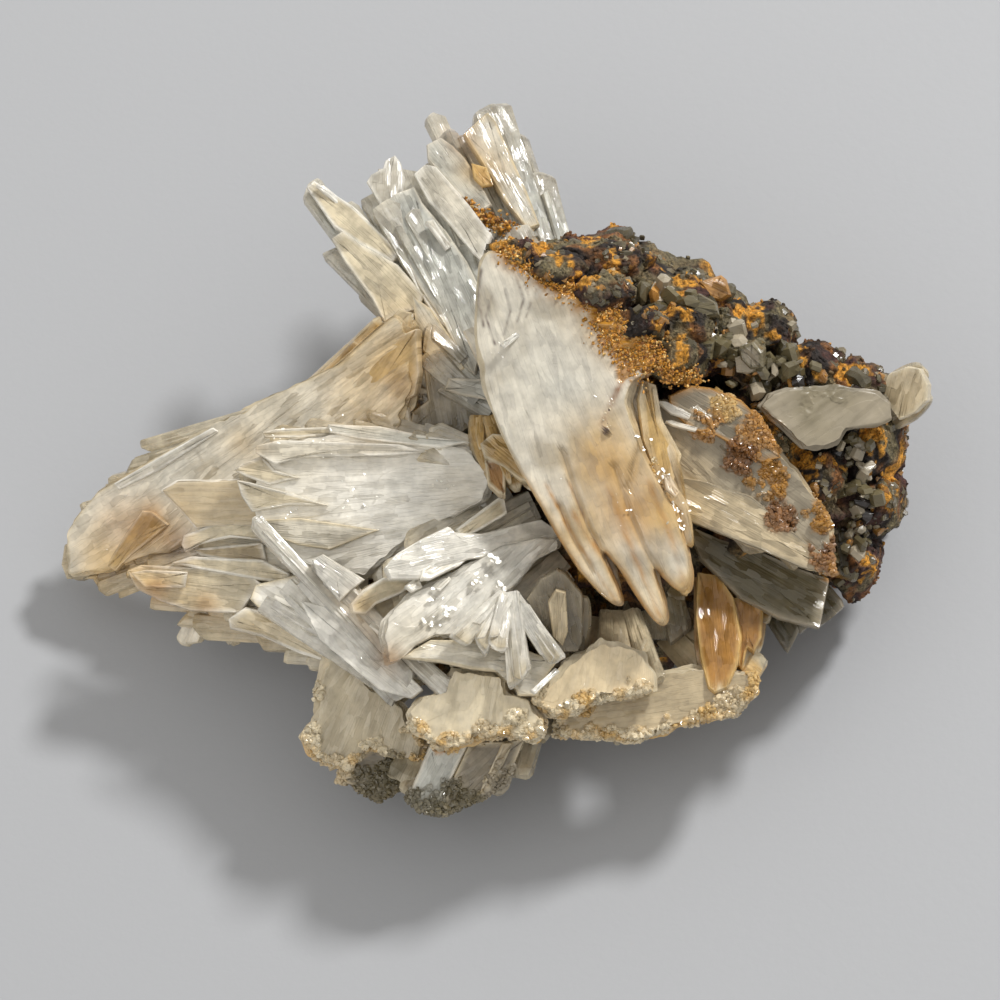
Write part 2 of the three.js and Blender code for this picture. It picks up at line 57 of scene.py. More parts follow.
# A blade starts this share of the way from its heart to its tip, and is this share as wide there.
ROOT_START = 0.2
ROOT_SHARE = 0.6
# The length of a blade's point in its own widths, and how far off the middle the point may lie.
TIP_LENGTH = 1.15
TIP_SKEW = 0.35
# How much the ridges of a lath differ in height.
LATH_RELIEF = 0.05
# How far at most a chisel end is cut back towards one side and away from its middle, in half widths.
CHISEL_TILT = 0.7
CHISEL_PEAK = 0.6
# How strongly an edge takes the rim's colour where the blade begins. It takes all of it at the tip.
EDGE_TINT = 0.35
# How far the rim of a plate draws in towards its top, over its thickness, and how thick its crust is in
# millimetres.
EDGE_BEVEL = 0.32
CRUST_RISE = 0.32
# How many random spots on the rock are tried, and how many crystals and crumbs at most are kept of them.
COAT_SPOTS, COAT_CRYSTALS, COAT_CRUMBS = 17000, 4600, 8200
# The first rock lumps are the large ones under the crystals, so fewer spots are tried on them.
COVERED_LUMPS = 6
# How many flat faces each rock lump is cut by.
ROCK_FACES = 30
# How w rises with u and with v on a face that mirrors the key lamp into the camera.
# The tablets set at this slope sit on the glints and are tinted bright: a painted highlight on top of their real
# reflection of the key lamp.
FLASH = (-0.33, -0.566)

# The camera: focal length and sensor width in millimetres.
LENS, SENSOR = 400, 36
# Each lamp: its name, its direction from the cluster, the width of its disc in metres and its watts.
LAMPS = (
    ("key_lamp", (0.461, 0.549, 0.696), 0.14, 6.8),
    ("fill_lamp", (-0.55, -0.35, 0.76), 0.9, 1.6),
)
LAMP_DISTANCE = 0.9
AIR_COLOUR, AIR_STRENGTH = (1.0, 0.985, 0.96, 1), 0.58
# How far the floor reaches each way and how far it lies under the cluster, in metres.
FLOOR_REACH, FLOOR_DROP = 2, 0.00005

# A refractive index of barite, whose three lie between 1.634 and 1.648.
BARITE_IOR = 1.636

# One blade is the u, v and w of the heart that its sheaf fans out from, the u, v and w of its tip, its
# width, its thickness and its roll in degrees.
UPPER_LEFT = [
    (-5, 11, -6, -18, 29.4, -15, 2.6, 1.2, 20),
    (-4, 12, -5, -14.8, 27, -13, 3, 1.4, -15),
    (-4, 11, -5, -15.3, 23.5, -12, 3.2, 1.5, 10),
    (-3, 10, -4, -12.4, 20, -10, 3.2, 1.6, -10),
    (-1, 9, -3, -11.9, 30, -14, 4.4, 1.5, 8),
    (0, 11, -3, -9.6, 31.8, -14, 4.8, 1.6, -8),
    (0.5, 8, -1.5, -10.5, 27.8, -11, 4.2, 1.6, 14),
    (0.5, 13, -3, -6.2, 27.5, -12, 4.4, 1.6, -14),
    (-0.5, 9, -2, -7.7, 15.6, -4, 2.6, 1.4, 18),
    (-0.5, 7.5, -2, -7.2, 13.8, -3, 2.5, 1.4, -12),
    (0.5, 7, -2, -5.6, 10.9, -3, 2.4, 1.4, 16),
]
UPPER_PRISMS = [
    (3.8, 14, -5.8, -7, 30.8, -15, 3.4, 1.8, 6),
    (3.5, 15, -7, -5.5, 33.8, -17, 2.8, 2, -20),
    (0, 22, -11, -6.3, 35.6, -18.5, 2, 1.6, 25),
    (6, 15, -7, -1.3, 36.2, -18, 3.8, 3.2, 20),
    (7, 16, -8, 0.8, 34.8, -18, 2.4, 2, -25),
    (5, 16, -7, -3.3, 34, -17, 2.2, 2, 10),
    (7.5, 16, -8, 3.5, 30.2, -15, 2.6, 2, 22),
    (7, 11, -6.7, 0.6, 25.2, -10.4, 4.2, 2.2, -6),
]
MAIN_BLADE = [
    (-3.4, 20, 3.2, 11.2, -9.9, 5, 3, 1.8, 6),
    (1.5, 22, 2.8, 14.8, -11.7, 6.3, 3.1, 2.2, -4),
    (6.5, 20, 2.6, 16.8, -9, 5.9, 3.8, 2.4, -8),
    (-1.5, 22, 3.4, 12.2, -6.2, 4.8, 1.7, 1.5, 25),
    (2.5, 20, 3.2, 13.6, -6.6, 5.4, 2.2, 1.6, -15),
    (8.5, 18, 3.2, 16.6, -1.5, 5.4, 3.6, 2.2, 10),
    (9.4, 15, 3.2, 17.4, -4.6, 5.8, 2.4, 1.8, 14),
    (-6, 23, 2.6, 8.2, -6.9, 4.2, 2.6, 1.8, 8),
]
HONEY_CLUSTER = [
    (-2.5, 9, -2, 0.2, 0.3, 1.8, 2.6, 1.6, 10),
    (-1.5, 9, -2, 1.7, 0.6, 2.2, 2.8, 1.8, -15),
    (-1, 9, -2, 3.1, 0.8, 2, 2.6, 1.6, 20),
    (-2, 9, -2, -1.7, 3.2, 0.8, 2.4, 1.6, -10),
]
INNER_CRYSTALS = [
    (3, 5.5, -6.5, -8.6, 9, -4.6, 5, 1.8, 8),
    (3, 3.5, -6.5, -7.4, 6.2, -4.4, 4.6, 1.8, -10),
    (3, 8, -6.5, -6.4, 11.6, -5, 4.4, 1.8, 6),
]
LEFT_WING = [
    (-8, 11.5, -2.6, -34.6, 2.7, -12.6, 3.8, 1.8, 6),
    (-8, 9.5, -2.4, -37.6, 0.5, -13.6, 3.6, 1.8, -5),
    (-8, 8, -2.4, -39.6, -1.7, -14.4, 3.4, 1.8, 8),
    (-8, 6.5, -2.6, -40.9, -4.3, -15, 3.6, 1.8, -4),
    (-9, 4, -3.2, -40.3, -7.4, -15, 3.4, 1.8, 7),
    (-10, 2, -4, -37.2, -8.4, -13.6, 3, 1.8, -6),
    (-11, 0.6, -4.6, -35.2, -6.9, -11.8, 2.8, 1.8, 12),
]
WING_END = [
    (-24, 3.5, -9.4, -9, 16.4, -5, 3.4, 1.8, 8),
    (-24, 1.5, -9.2, -7.4, 13.8, -4.6, 3.2, 1.8, -6),
    (-23, 0, -9, -7.2, 10.8, -4.2, 3, 1.8, 5),
    (-22, -1.5, -8.8, -7.6, 8.2, -4.2, 2.6, 1.8, -10),
]
MIDDLE_FAN = [
    (3.4, 2.6, -1.6, -15.4, 7.1, -2.6, 3.8, 1.6, 18),
    (3.4, 2.2, -1.6, -21.7, 6, -3.8, 4, 1.6, 12),
    (3.4, 1.8, -1.2, -22.6, 4.2, -3.8, 4.6, 1.8, -6),
    (3.4, 1.4, -1, -24.4, 2.2, -4, 4.8, 1.8, 8),
    (3.4, 1, -0.8, -24, 0.2, -3.8, 4.8, 1.8, -8),
    (3.4, 0.6, -0.8, -22.2, -2, -3.4, 4.6, 1.8, 7),
    (3.4, -0.4, -1, -15.4, -6.4, -1.8, 5.2, 1.8, 8),
    (2.4, 2.4, -1.6, -9.5, 6.2, 0.4, 3.4, 1.6, 20),
]
LOWER_LEFT = [
    (-5, -6.4, -4, -29.1, -3.9, -6, 3.4, 1.6, 10),
    (-4, -9, -4, -34.1, -6.8, -7.4, 3.6, 1.6, 8),
    (-4, -10.4, -4, -33.6, -8, -7.2, 3.2, 1.6, -8),
    (-4, -11.6, -4, -31.4, -9.5, -6.8, 3.2, 1.6, 10),
    (-4, -12.8, -4, -29.4, -10.5, -6.2, 3.2, 1.6, -6),
    (-3, -13.8, -4, -24.9, -11.7, -5, 3.2, 1.8, 10),
    (-3, -14.8, -3.6, -22.2, -12.7, -4, 3.2, 1.8, -10),
    (-2, -15.8, -3.4, -20, -13.6, -3.2, 3.2, 1.8, 8),
    (-25.5, -7, -6.2, -28.9, -14.4, -8.6, 2.2, 1.3, 30),
    (-23.2, -9, -5.2, -24.8, -13.6, -7, 1.8, 1.2, -20),
]
CROSSING_BLADES = [
    (-6, -19, 2.2, -23.1, -0.7, 0.4, 1.6, 1.4, 15),
    (-20.5, -3.4, -0.6, -7.4, -17.9, 2.8, 3.4, 1.6, 10),
    (-24.8, -7.2, -2.8, -9.4, -16.8, 2, 2.6, 1.6, -12),
    (-22.5, -4.6, -1.8, -8.6, -18, 1.8, 2.4, 1.6, 14),
    (-8, -13.6, 2.2, -17.1, -4.8, 1, 2, 1.6, -20),
    (-13.5, -9, 1, -4, -17.8, 3.6, 2, 1.5, -15),
]
FRONT_FAN = [
    (5, 1.8, -3, -10.2, -5.9, 2.4, 4, 1.8, 14),
    (6.4, 1.6, -3, -8.2, -6.8, 4.2, 3.6, 1.8, -10),
    (7, 0.6, -3, -13.6, -9.6, 2.8, 4.2, 1.8, 8),
    (7.4, -0.2, -3, -12.1, -10.8, 4, 4, 1.8, -10),
    (7.8, -1, -3, -11.1, -12.1, 4.6, 4, 1.8, 12),
    (8, -1.8, -3, -10.2, -14.9, 4.8, 4.2, 2, -5),
    (8.2, -2.6, -3, -7.7, -14.3, 5.2, 4.2, 2, 10),
    (8.4, -3.2, -3, -4.6, -15.6, 4.6, 4.6, 2, -12),
]
FRONT_PRISMS = [
    (0.6, -5.5, 3.4, 1.9, -17.4, 6.4, 2.4, 1.8, 12),
    (1.6, -7.4, 3.6, -4.1, -12.9, 6.6, 1.9, 1.4, -20),
    (1.6, -7.2, 3.6, -2.2, -13.9, 7, 1.9, 1.4, 15),
    (0.8, -7, 3.6, -0.4, -13.7, 7.2, 1.9, 1.4, -12),
    (0.2, -7.2, 3.2, 5.5, -14.8, 5.8, 1.8, 1.5, 25),
]
UPRIGHT_CRYSTALS = [
    (4.4, -17.5, 0.6, 5.4, -6, 4, 4, 2, 8),
    (6.2, -17, 0.4, 7.4, -8.4, 3.2, 2.6, 1.8, -12),
]
LOWER_LEFT_PLATE = [
    (-4, -12, -5, -16.9, -23.4, -1.4, 4.2, 2, 10),
    (-2, -14, -5, -9, -26.4, 0, 4.4, 2.2, 10),
]
FRONT_PLATE = [
    (0, -12, -4, -6.4, -22.2, 3.6, 3.6, 2.2, -8),
    (2, -12, -4, -1, -22, 3.8, 4, 2.2, 8),
    (3, -13, -4, 2, -21, 3.4, 3, 2.2, 12),
]
LOWER_PRISMS = [
    (1, -13, -5, -8.4, -27.3, -0.6, 3.2, 2.4, 15),
    (2, -14, -5, -6.6, -28.7, 0.2, 3.4, 2.6, -10),
    (3, -14, -5, -3.8, -28.2, 0.6, 3.4, 2.6, 12),
    (4, -14, -5, -1.4, -27.1, 0.4, 3.2, 2.6, -15),
    (5, -14, -5, 1, -25.4, 0, 3.2, 2.4, 10),
    (6, -14, -5, 2.6, -22.4, -0.6, 2.8, 2.4, -12),
]
HONEY_PLATE = [
    (9, -8, -5, 6.5, -18.8, 3, 3.4, 2.2, 8),
    (10, -8, -5, 10.6, -18.2, 2.8, 3.6, 2.2, -10),
    (11, -8, -5, 13.6, -17.3, 2.2, 3.2, 2.2, 12),
]
LOWER_RIGHT_PLATE = [
    (8, -11, -7, 12, -21.9, -0.6, 3.6, 2.2, 10),
    (13, -10, -7, 22, -19.4, -1.4, 3.4, 2.2, 8),
    (14, -9, -7, 24, -16, -1.8, 3.2, 2.2, -12),
]
HANGING_BLADES = [
    (18.6, -3, -6, 19.2, -17.9, -0.4, 3.4, 1.8, 8),
    (20, -3, -6, 20.4, -17.2, -1.2, 3, 1.8, -15),
    (21.4, -3, -6.4, 21.8, -15.5, -2, 2.4, 1.6, 20),
    (22.6, -3, -6.6, 23.1, -14.2, -2.6, 2.8, 1.8, -10),
    (22.8, -2.6, -6.8, 24.2, -11.4, -3.4, 2.4, 1.6, 15),
]
RIGHT_BLADES = [
    (14, 7, -3, 27.4, -6.2, -0.6, 4.2, 2.2, 10),
    (15, 8, -3, 30.6, -7.2, -1.6, 4.4, 2.2, -6),
    (17, 9, -3, 30.8, -4.4, -1.8, 4.2, 2.2, 8),
]
UNDER_BLADES = [
    (17, 0, -9, 24.6, -9.9, -4.4, 4.4, 2, 10),
    (18, 1, -9, 28.5, -14.1, -5.2, 4.2, 2.2, -8),
    (20, 1, -9, 30.2, -12.6, -6.2, 4.2, 2.2, 8),
    (22, 1, -9, 30.8, -9.4, -6.6, 4, 2.2, -10),
]
GAP_CRYSTALS = [
    (11, -2, -9, 4.6, -6.4, -3.4, 3.4, 1.8, 10),
    (11, -2, -9, 7.6, -8.2, -3, 3.6, 1.8, -12),
    (12, -2, -9, 10.4, -9.6, -3.2, 3.8, 1.8, 8),
    (13, -2, -9, 13.6, -10.4, -3.6, 3.8, 1.8, -8),
    (14, -2, -9, 16.8, -9.8, -4.2, 3.4, 1.8, 12),
    (12.5, -3, -9, 12, -12.8, -3.6, 2.8, 1.6, -15),
    (14, -4, -7, 15.6, -14.2, -3, 4.4, 1.8, 5),
]
BACK_SHEAF = [
    (-2, 10, -12, -14, 17, -20, 4.4, 2, 10),
    (-1, 11, -13, -11, 20.5, -22.5, 4.4, 2, -10),
    (0, 12, -13, -7, 23.5, -24, 4.6, 2.2, 8),
    (1, 12, -13, -2.6, 25.5, -24.5, 4.6, 2.2, -12),
    (2, 12, -13, 2.4, 26, -24, 4.4, 2.2, 10),
    (3, 12, -14, 7, 25, -24.5, 4.2, 2, -8),
    (-3, 8, -12, -15.5, 12.5, -18.5, 4.2, 2, -8),
]
EDGE_CRYSTAL = [
    (32.5, 6.5, -7.4, 38.6, 12.1, -5.4, 3.8, 2.4, 12),
    (33, 5.8, -7.6, 39, 9.8, -5.8, 3.4, 2.4, -10),
]

# One slab is its corners anticlockwise, its depth, how w rises with u and v, its thickness and the point
# that the growth lines on it fan out from.
MAIN_SLAB = dict(
    corners=[(-1.1, 23), (-2, 21.4), (-2.3, 18), (-2.5, 14.9), (-1.8, 9.9), (0, 5.8), (1.8, 2.3), (3.6, -0.7),
             (5.4, -3.9), (7.2, -6.7), (9, -8.6), (10.3, -9.7), (11.1, -9.8), (11.3, -9.3), (10.9, -8.1),
             (10.1, -6.3), (9.5, -5), (11, -6.7), (12.3, -8.8), (13.5, -10.6), (14.5, -11.6), (15.1, -11.5),
             (15.3, -10.6), (15, -9), (14.4, -7.4), (14.2, -6.5), (15.2, -7.7), (16.2, -8.5), (16.9, -8.7),
             (17.4, -8.1), (17.5, -6.8), (17.1, -4.5), (16.6, -2.7), (16.2, -1.1), (15.5, 0), (14.4, 2),
             (13.3, 4.1), (12.7, 6.3), (11.9, 8.6), (12.6, 10.6), (13.9, 11.3), (15.1, 12.8), (13.5, 14.4),
             (11.5, 16), (9.4, 17.6), (7.2, 18.9), (5.4, 19.4), (3.6, 20.5), (1.8, 21.8), (0, 22.9)],
    heart=(0, 12), gilded=(-6, 4), cloud=0.7, depth=4.9, slope=(0.05, 0.02), thick=2.4, focus=(-14, 60),
    grooves=[[(9.5, -5), (8, -2.6), (6.8, 0.4), (5.6, 4.4)], [(14.2, -6.5), (12.8, -4), (11.3, -0.4), (10.2, 3)],
             [(5.4, -0.5), (6.6, -3.4), (8.2, -6.2)], [(12.8, 6), (12, 3), (11.6, 1)]],
)
WING_SLAB = dict(
    corners=[(-39.4, -7.2), (-36, -6.8), (-29, -4.8), (-21.6, -2.4), (-14.4, 2.4), (-8.2, 6.8), (-7.1, 10.6),
             (-7, 15.4), (-8.7, 17.2), (-10.4, 15.9), (-14, 12.6), (-16.9, 11.3), (-21.4, 9.3), (-25.4, 7.5),
             (-29.4, 5.1), (-33.4, 2.7), (-37, 0.6), (-39.4, -2.8), (-39.9, -5.4)],
    depth=-8.6, slope=(0.36, -0.02), thick=2, focus=(10, 27),
)
FAN_SLAB = dict(
    corners=[(-0.9, 0), (-0.3, 2.7), (-2.7, 4.9), (-9, 6.1), (-15.3, 6.5), (-21.2, 5.1), (-22.3, 2.7), (-22.6, 0),
             (-21.8, -2.7), (-19.2, -5.2), (-15.3, -7), (-12.2, -7.2), (-7.2, -3.4)],
    depth=-1.7, slope=(0.1, 0), thick=1.7, focus=(22, 3),
)
CLEAR_TRIANGLE = dict(
    corners=[(-30.9, 0.9), (-27.6, -2.8), (-20, -2.6), (-17, 0.5), (-22, 2.2), (-29.5, 1.9)],
    depth=-4.6, slope=(0.08, 0), thick=1.4, focus=(30, 0),
)
LOWER_LEFT_SLAB = dict(
    corners=[(-15.7, -13.5), (-16.4, -15.1), (-16.9, -17.5), (-17.3, -19.8), (-18.2, -21.4), (-17.1, -23.2),
             (-15.3, -24.1), (-13.9, -24.7), (-11.5, -22.6), (-8.5, -23.6), (-6.7, -23.6), (-6.3, -22),
             (-7.9, -20.2), (-8.5, -18.4), (-12.1, -15.7), (-13.9, -13.3)],
    depth=-1.2, slope=(-0.06, 0.1), thick=2, focus=(0, 10),
)
FRONT_SLAB = dict(
    corners=[(-8.8, -19.1), (-8.1, -20.7), (-6.7, -21.8), (-5.4, -22.5), (-4, -22.5), (-1.8, -21.8), (1.8, -21.4),
             (3.1, -21.8), (4.3, -21.1), (4.5, -19.8), (3.1, -18), (1.1, -17.1), (0.5, -15.3), (-2.2, -14.9),
             (-4.5, -14.8), (-5.4, -17.1), (-7.6, -17.5)],
    depth=3.2, slope=(0, -0.12), thick=2.4, focus=(4, 12),
)
HONEY_SLAB = dict(
    corners=[(5.4, -14.4), (4, -16.6), (2.7, -18), (4, -19.6), (5.4, -19.8), (6.7, -19.3), (8.1, -18.4),
             (10.3, -18), (12.6, -17.5), (14.2, -17.1), (14.2, -15.5), (13, -13.5), (11, -12.6), (9, -12.1)],
    depth=2.6, slope=(-0.08, -0.1), thick=2.2, focus=(14, 14),
)
LOWER_RIGHT_SLAB = dict(
    corners=[(4.5, -19.6), (4.6, -21.3), (11.8, -22), (18, -20.2), (21.8, -19.4), (23.2, -17.6),
             (23.6, -15.6), (17.5, -14.6), (8, -16)],
    depth=-0.8, slope=(-0.05, -0.05), thick=2.4, focus=(-60, -30),
)
RIGHT_SLAB = dict(
    corners=[(13.6, 9), (12.6, 2), (15.4, -1.4), (21.6, -3.9), (27, -6.1), (30.4, -7.2), (30.2, -2),
             (27, 3), (23, 7.2), (19.8, 9.6)],
    depth=0, slope=(-0.14, 0.05), thick=2.4, focus=(-14, 30),
)
CRUST_SLAB = dict(
    corners=[(22.9, 8.5), (25.2, 6.1), (27, 4.3), (28.8, 4.3), (30.6, 4.9), (31.5, 6.1), (34.2, 6.5), (35.7, 7.2),
             (35.5, 8.8), (34.2, 9.9), (30.6, 10.6), (25.6, 10.3), (23.8, 9.7)],
    depth=-0.3, slope=(-0.16, 0), thick=2, focus=(60, 30),
)

# One tablet is its core colour, rim colour, clearness, depth, how w rises with u and v, thickness and corners.
UPPER_TABLETS = [
    ("blue_grey", "milky", 0.5, -7.6, 0.2, -0.45, 1.3, [
        (-10.7, 26.7), (-9.4, 27.7), (-7.7, 28.3), (-6.9, 26.8), (-4.7, 24.1), (-2.9, 21.4), (-1.8, 19.1),
        (-2, 15.3), (-1.7, 13.3), (-2.1, 11), (-3.4, 12.1), (-5, 15.7), (-7.4, 19.3), (-9, 22.7)]),
    ("milky", "bright", 0.6, -12.5, 0.2, -0.4, 1.1, [
        (-12.1, 28.8), (-11.7, 29.5), (-10.6, 30.1), (-10.4, 30.8), (-9.5, 31.3), (-9, 30.6), (-8.6, 29.2),
        (-8.8, 27.5), (-9.7, 25.7), (-10.8, 26.6)]),
    ("cream", "bright", 0.4, -11.4, 0.2, -0.45, 1, [
        (-17.6, 28.3), (-16.9, 29), (-15.3, 27.9), (-13.3, 26.6), (-10.4, 23.8), (-9, 22.3), (-9.7, 21.4),
        (-12.6, 23), (-15.1, 24.7)]),
    ("cream", "milky", 0.4, -8.6, 0.2, -0.45, 1.2, [
        (-15.3, 23.6), (-14.2, 24.3), (-12.4, 23), (-9.2, 21.2), (-6.8, 18.4), (-7.4, 17), (-9.4, 16.4),
        (-10.3, 15.7), (-11.5, 18), (-14, 21.4)]),
    ("milky", "bright", 0.5, -9.5, 0.2, -0.45, 1, [
        (-7.8, 29.5), (-6.8, 30.4), (-5.8, 30.2), (-4.9, 29.2), (-2.7, 26.6), (-0.7, 23.9), (-1.6, 21.4),
        (-2.7, 22.5), (-4.5, 24.8), (-6.5, 27)]),
    ("blue_grey", "cream", 0.4, -5, 0.2, -0.45, 1.1, [
        (-7.9, 18.4), (-6.1, 17.1), (-4.3, 14.4), (-3.1, 11.7), (-4, 11), (-6.1, 13.3), (-7.6, 15.3)]),
    ("milky", "bright", 0.3, -6, 0.2, -0.45, 0.7, [
        (-7.4, 18.9), (-6.1, 18.1), (-3.4, 15.7), (-4.5, 15.1), (-5.8, 16.4)]),
    # These two glint facets are tinted bright: painted highlight, besides their real reflection of the key lamp.
    ("milky", "bright", 0.3, -8.1, -0.33, -0.56, 0.6, [(-6.8, 25.2), (-6.1, 25.4), (-4.4, 22.9), (-4.9, 22.6)]),
    ("bright", "bright", 0.3, -12.4, -0.33, -0.56, 0.5, [(-16.8, 28.6), (-16.1, 28.6), (-13.6, 26.6), (-14.6, 26.6)]),
    ("blue_grey", "milky", 0.5, -12.6, 0.05, -0.5, 1.2, [
        (-6.6, 30.8), (-6.7, 32.2), (-5.4, 32.9), (-4.3, 32.1), (-3.2, 31), (-1.8, 28.8), (-0.7, 26.6),
        (-1.8, 25.9), (-4, 27.7)]),
    ("milky", "beige", 0.5, -13, -0.1, -0.5, 1, [
        (-3.4, 33.2), (-1.2, 35.3), (-0.4, 34.4), (2.4, 28), (3.6, 24.8), (2.4, 24.4), (0.4, 27), (-2, 31)]),
    ("amber", "honey", 0.2, -11.6, 0, -0.5, 0.5, [
        (-2.6, 30.6), (-1.2, 30.2), (-0.6, 28.6), (-1.6, 28.4), (-2.4, 29.2)]),
]
WING_TABLETS = [
    ("cream", "cream", 0.3, -4.6, 0.36, 0, 1.2, [
        (-14.4, 12.1), (-9, 17.2), (-7.8, 16.9), (-8.1, 15.7), (-7.4, 14), (-10.8, 13.6), (-14, 11.5)]),
    ("honey", "bright", 0.35, -3.9, 0.36, 0.04, 1.4, [
        (-9, 14.8), (-7.3, 15.5), (-7.2, 13.5), (-7, 11.5), (-7.4, 9.5), (-9, 8.6), (-10.8, 7.9),
        (-13.5, 7.4), (-14.4, 9), (-12.6, 11.7)]),
    ("cream", "bright", 0.4, -4, 0.3, 0.1, 1, [
        (-11.2, 8.1), (-8.1, 8.4), (-7.9, 6.8), (-8.6, 6), (-12, 6.3)]),
    ("beige", "cream", 0.5, -14, 0.3, 0.05, 1.6, [
        (-39.6, -4), (-34.2, -3.6), (-31.5, -1.8), (-28.8, -3.6), (-28.8, -4.8), (-32.4, -5.4), (-36, -6.5),
        (-36.6, -7.2), (-39.4, -7.2), (-39.9, -5.9)]),
    ("smoky", "cream", 0.5, -14.2, 0.3, 0.05, 1.2, [
        (-37.1, -6.3), (-34.2, -4), (-33.7, -5.4), (-34.9, -6.8), (-36.6, -7.9), (-37, -7.3)]),
    ("honey", "bright", 0.4, -11.2, 0.36, 0.1, 1.3, [
        (-35.4, -5.4), (-33.7, -2.7), (-32.4, -0.9), (-31.4, -1), (-29.9, -2.2), (-31.5, -3.6), (-33.3, -5),
        (-34.8, -6.5), (-35.6, -6)]),
    ("beige", "cream", 0.3, -12.2, 0.36, 0, 0.9, [
        (-39.2, -3.4), (-37.4, -0.6), (-33, 2), (-27, 5), (-24, 6.6), (-24.6, 4.6), (-31, -0.4),
        (-35.6, -3), (-38.6, -4)]),
    ("milky", "bright", 0.3, -10.2, 0.36, 0, 0.6, [
        (-35.1, 1.5), (-34.4, 1.9), (-30, 4.4), (-26, 6.6), (-25.4, 6.2), (-31, 2.6), (-34.6, 0.9)]),
]
LEFT_TABLETS = [
    ("cream", "bright", 0.2, -4.8, 0.1, 0, 1.2, [
        (-28.6, -3.2), (-24.7, -1.6), (-22, -1.8), (-21.4, -3.6), (-24.3, -3.4), (-27, -4), (-28.4, -4.8),
        (-28.8, -4)]),
    ("beige", "bright", 0.5, -5.4, 0.1, 0, 1,
     [(-27.9, -4.4), (-21.4, -3.8), (-21, -5.6), (-23.4, -5.7), (-27, -5.1)]),
    ("cream", "bright", 0.3, -5.4, 0.1, -0.05, 1.6, [
        (-33.7, -6.4), (-32.4, -5.9), (-27.4, -6.1), (-22.5, -6.7), (-21.4, -7.6), (-22.5, -9), (-23.4, -10.3),
        (-27.9, -10.1), (-30.6, -9.2), (-32.8, -8.1)]),
    ("cream", "bright", 0.25, -4.4, 0.1, -0.05, 0.8, [
        (-29.7, -5.7), (-27.9, -5.1), (-21.4, -5.4), (-18.9, -6.7), (-19.3, -7.6), (-22, -7.2), (-27, -6.3)]),
    ("cream", "bright", 0.15, -4.5, 0.1, -0.05, 0.6, [
        (-33.4, -6.6), (-32, -6.3), (-28.2, -6.5), (-28.4, -7.9), (-32, -8)]),
    ("bright", "cream", 0.2, -2.6, 0.2, -0.1, 1.2, [
        (-22, -7.7), (-18, -6.7), (-15.3, -9), (-13.5, -11.2), (-15.3, -12.6), (-18, -12.1), (-21.4, -10.1),
        (-22.5, -9)]),
    ("cream", "bright", 0.2, -3, 0.15, -0.15, 1, [
        (-24.5, -10.8), (-22.9, -9.7), (-21.4, -10.1), (-18, -12.1), (-15.5, -13.7), (-15.7, -14.6), (-18, -13.9),
        (-21.4, -12.4), (-24.3, -11.7)]),
]
CROSSING_TABLETS = [
    ("bright", "bright", 0.35, 1.7, 0.13, -0.12, 1.2, [
        (-18, -9), (-15.7, -9.6), (-10.8, -13), (-6.8, -17.1), (-7.9, -17.9), (-10.8, -17.1), (-13.5, -14.8),
        (-16.2, -12.6)]),
    ("bright", "bright", 0.4, 1.9, 0, -0.1, 1.1, [
        (-16.9, -5.4), (-15.9, -4.9), (-12.1, -7.2), (-13.5, -8.3), (-14.4, -9.2), (-16.4, -6.8)]),
]
FAN_TABLETS = [
    ("cream", "bright", 0.3, -1.9, 0.1, 0, 0.8, [
        (-21.4, 6.1), (-20.2, 6.4), (-15.3, 6.6), (-14.8, 5.9), (-18, 5.6), (-21.2, 5.6)]),
    ("blue_grey", "bright", 0.3, -0.6, 0.1, -0.12, 0.8, [
        (-15.5, 6.8), (-10.8, 6.6), (-6.3, 5.7), (-2.7, 5.2), (-5.4, 4.6), (-12.6, 5.4), (-15.3, 6)]),
    ("milky", "bright", 0.3, -0.6, 0.1, -0.03, 0.5, [
        (-22, 4.9), (-19.8, 5.4), (-9, 5), (-6.5, 4.3), (-9.5, 4), (-18, 3.8), (-20.2, 3.2), (-22, 4.2)]),
    ("cream", "bright", 0.4, -1.8, 0.1, 0, 1, [
        (-24, 2.7), (-23.4, 3.2), (-21.4, 4), (-20.2, 2.7), (-18, 2), (-20.7, 1.3), (-22.9, 2.1)]),
    ("cream", "bright", 0.4, -1.7, 0.1, 0, 1, [
        (-23.7, 1.8), (-22.5, 1.6), (-18, 0.4), (-15.4, -0.5), (-18.9, -0.5), (-22.3, -1.1), (-23.3, 0.4)]),
    ("milky", "cream", 0.3, -1.2, 0.1, 0.02, 0.8, [
        (-22, -1.8), (-18, -1.6), (-10.8, -2.7), (-15.3, -4.5), (-18, -4.1), (-20.7, -3.2)]),
]
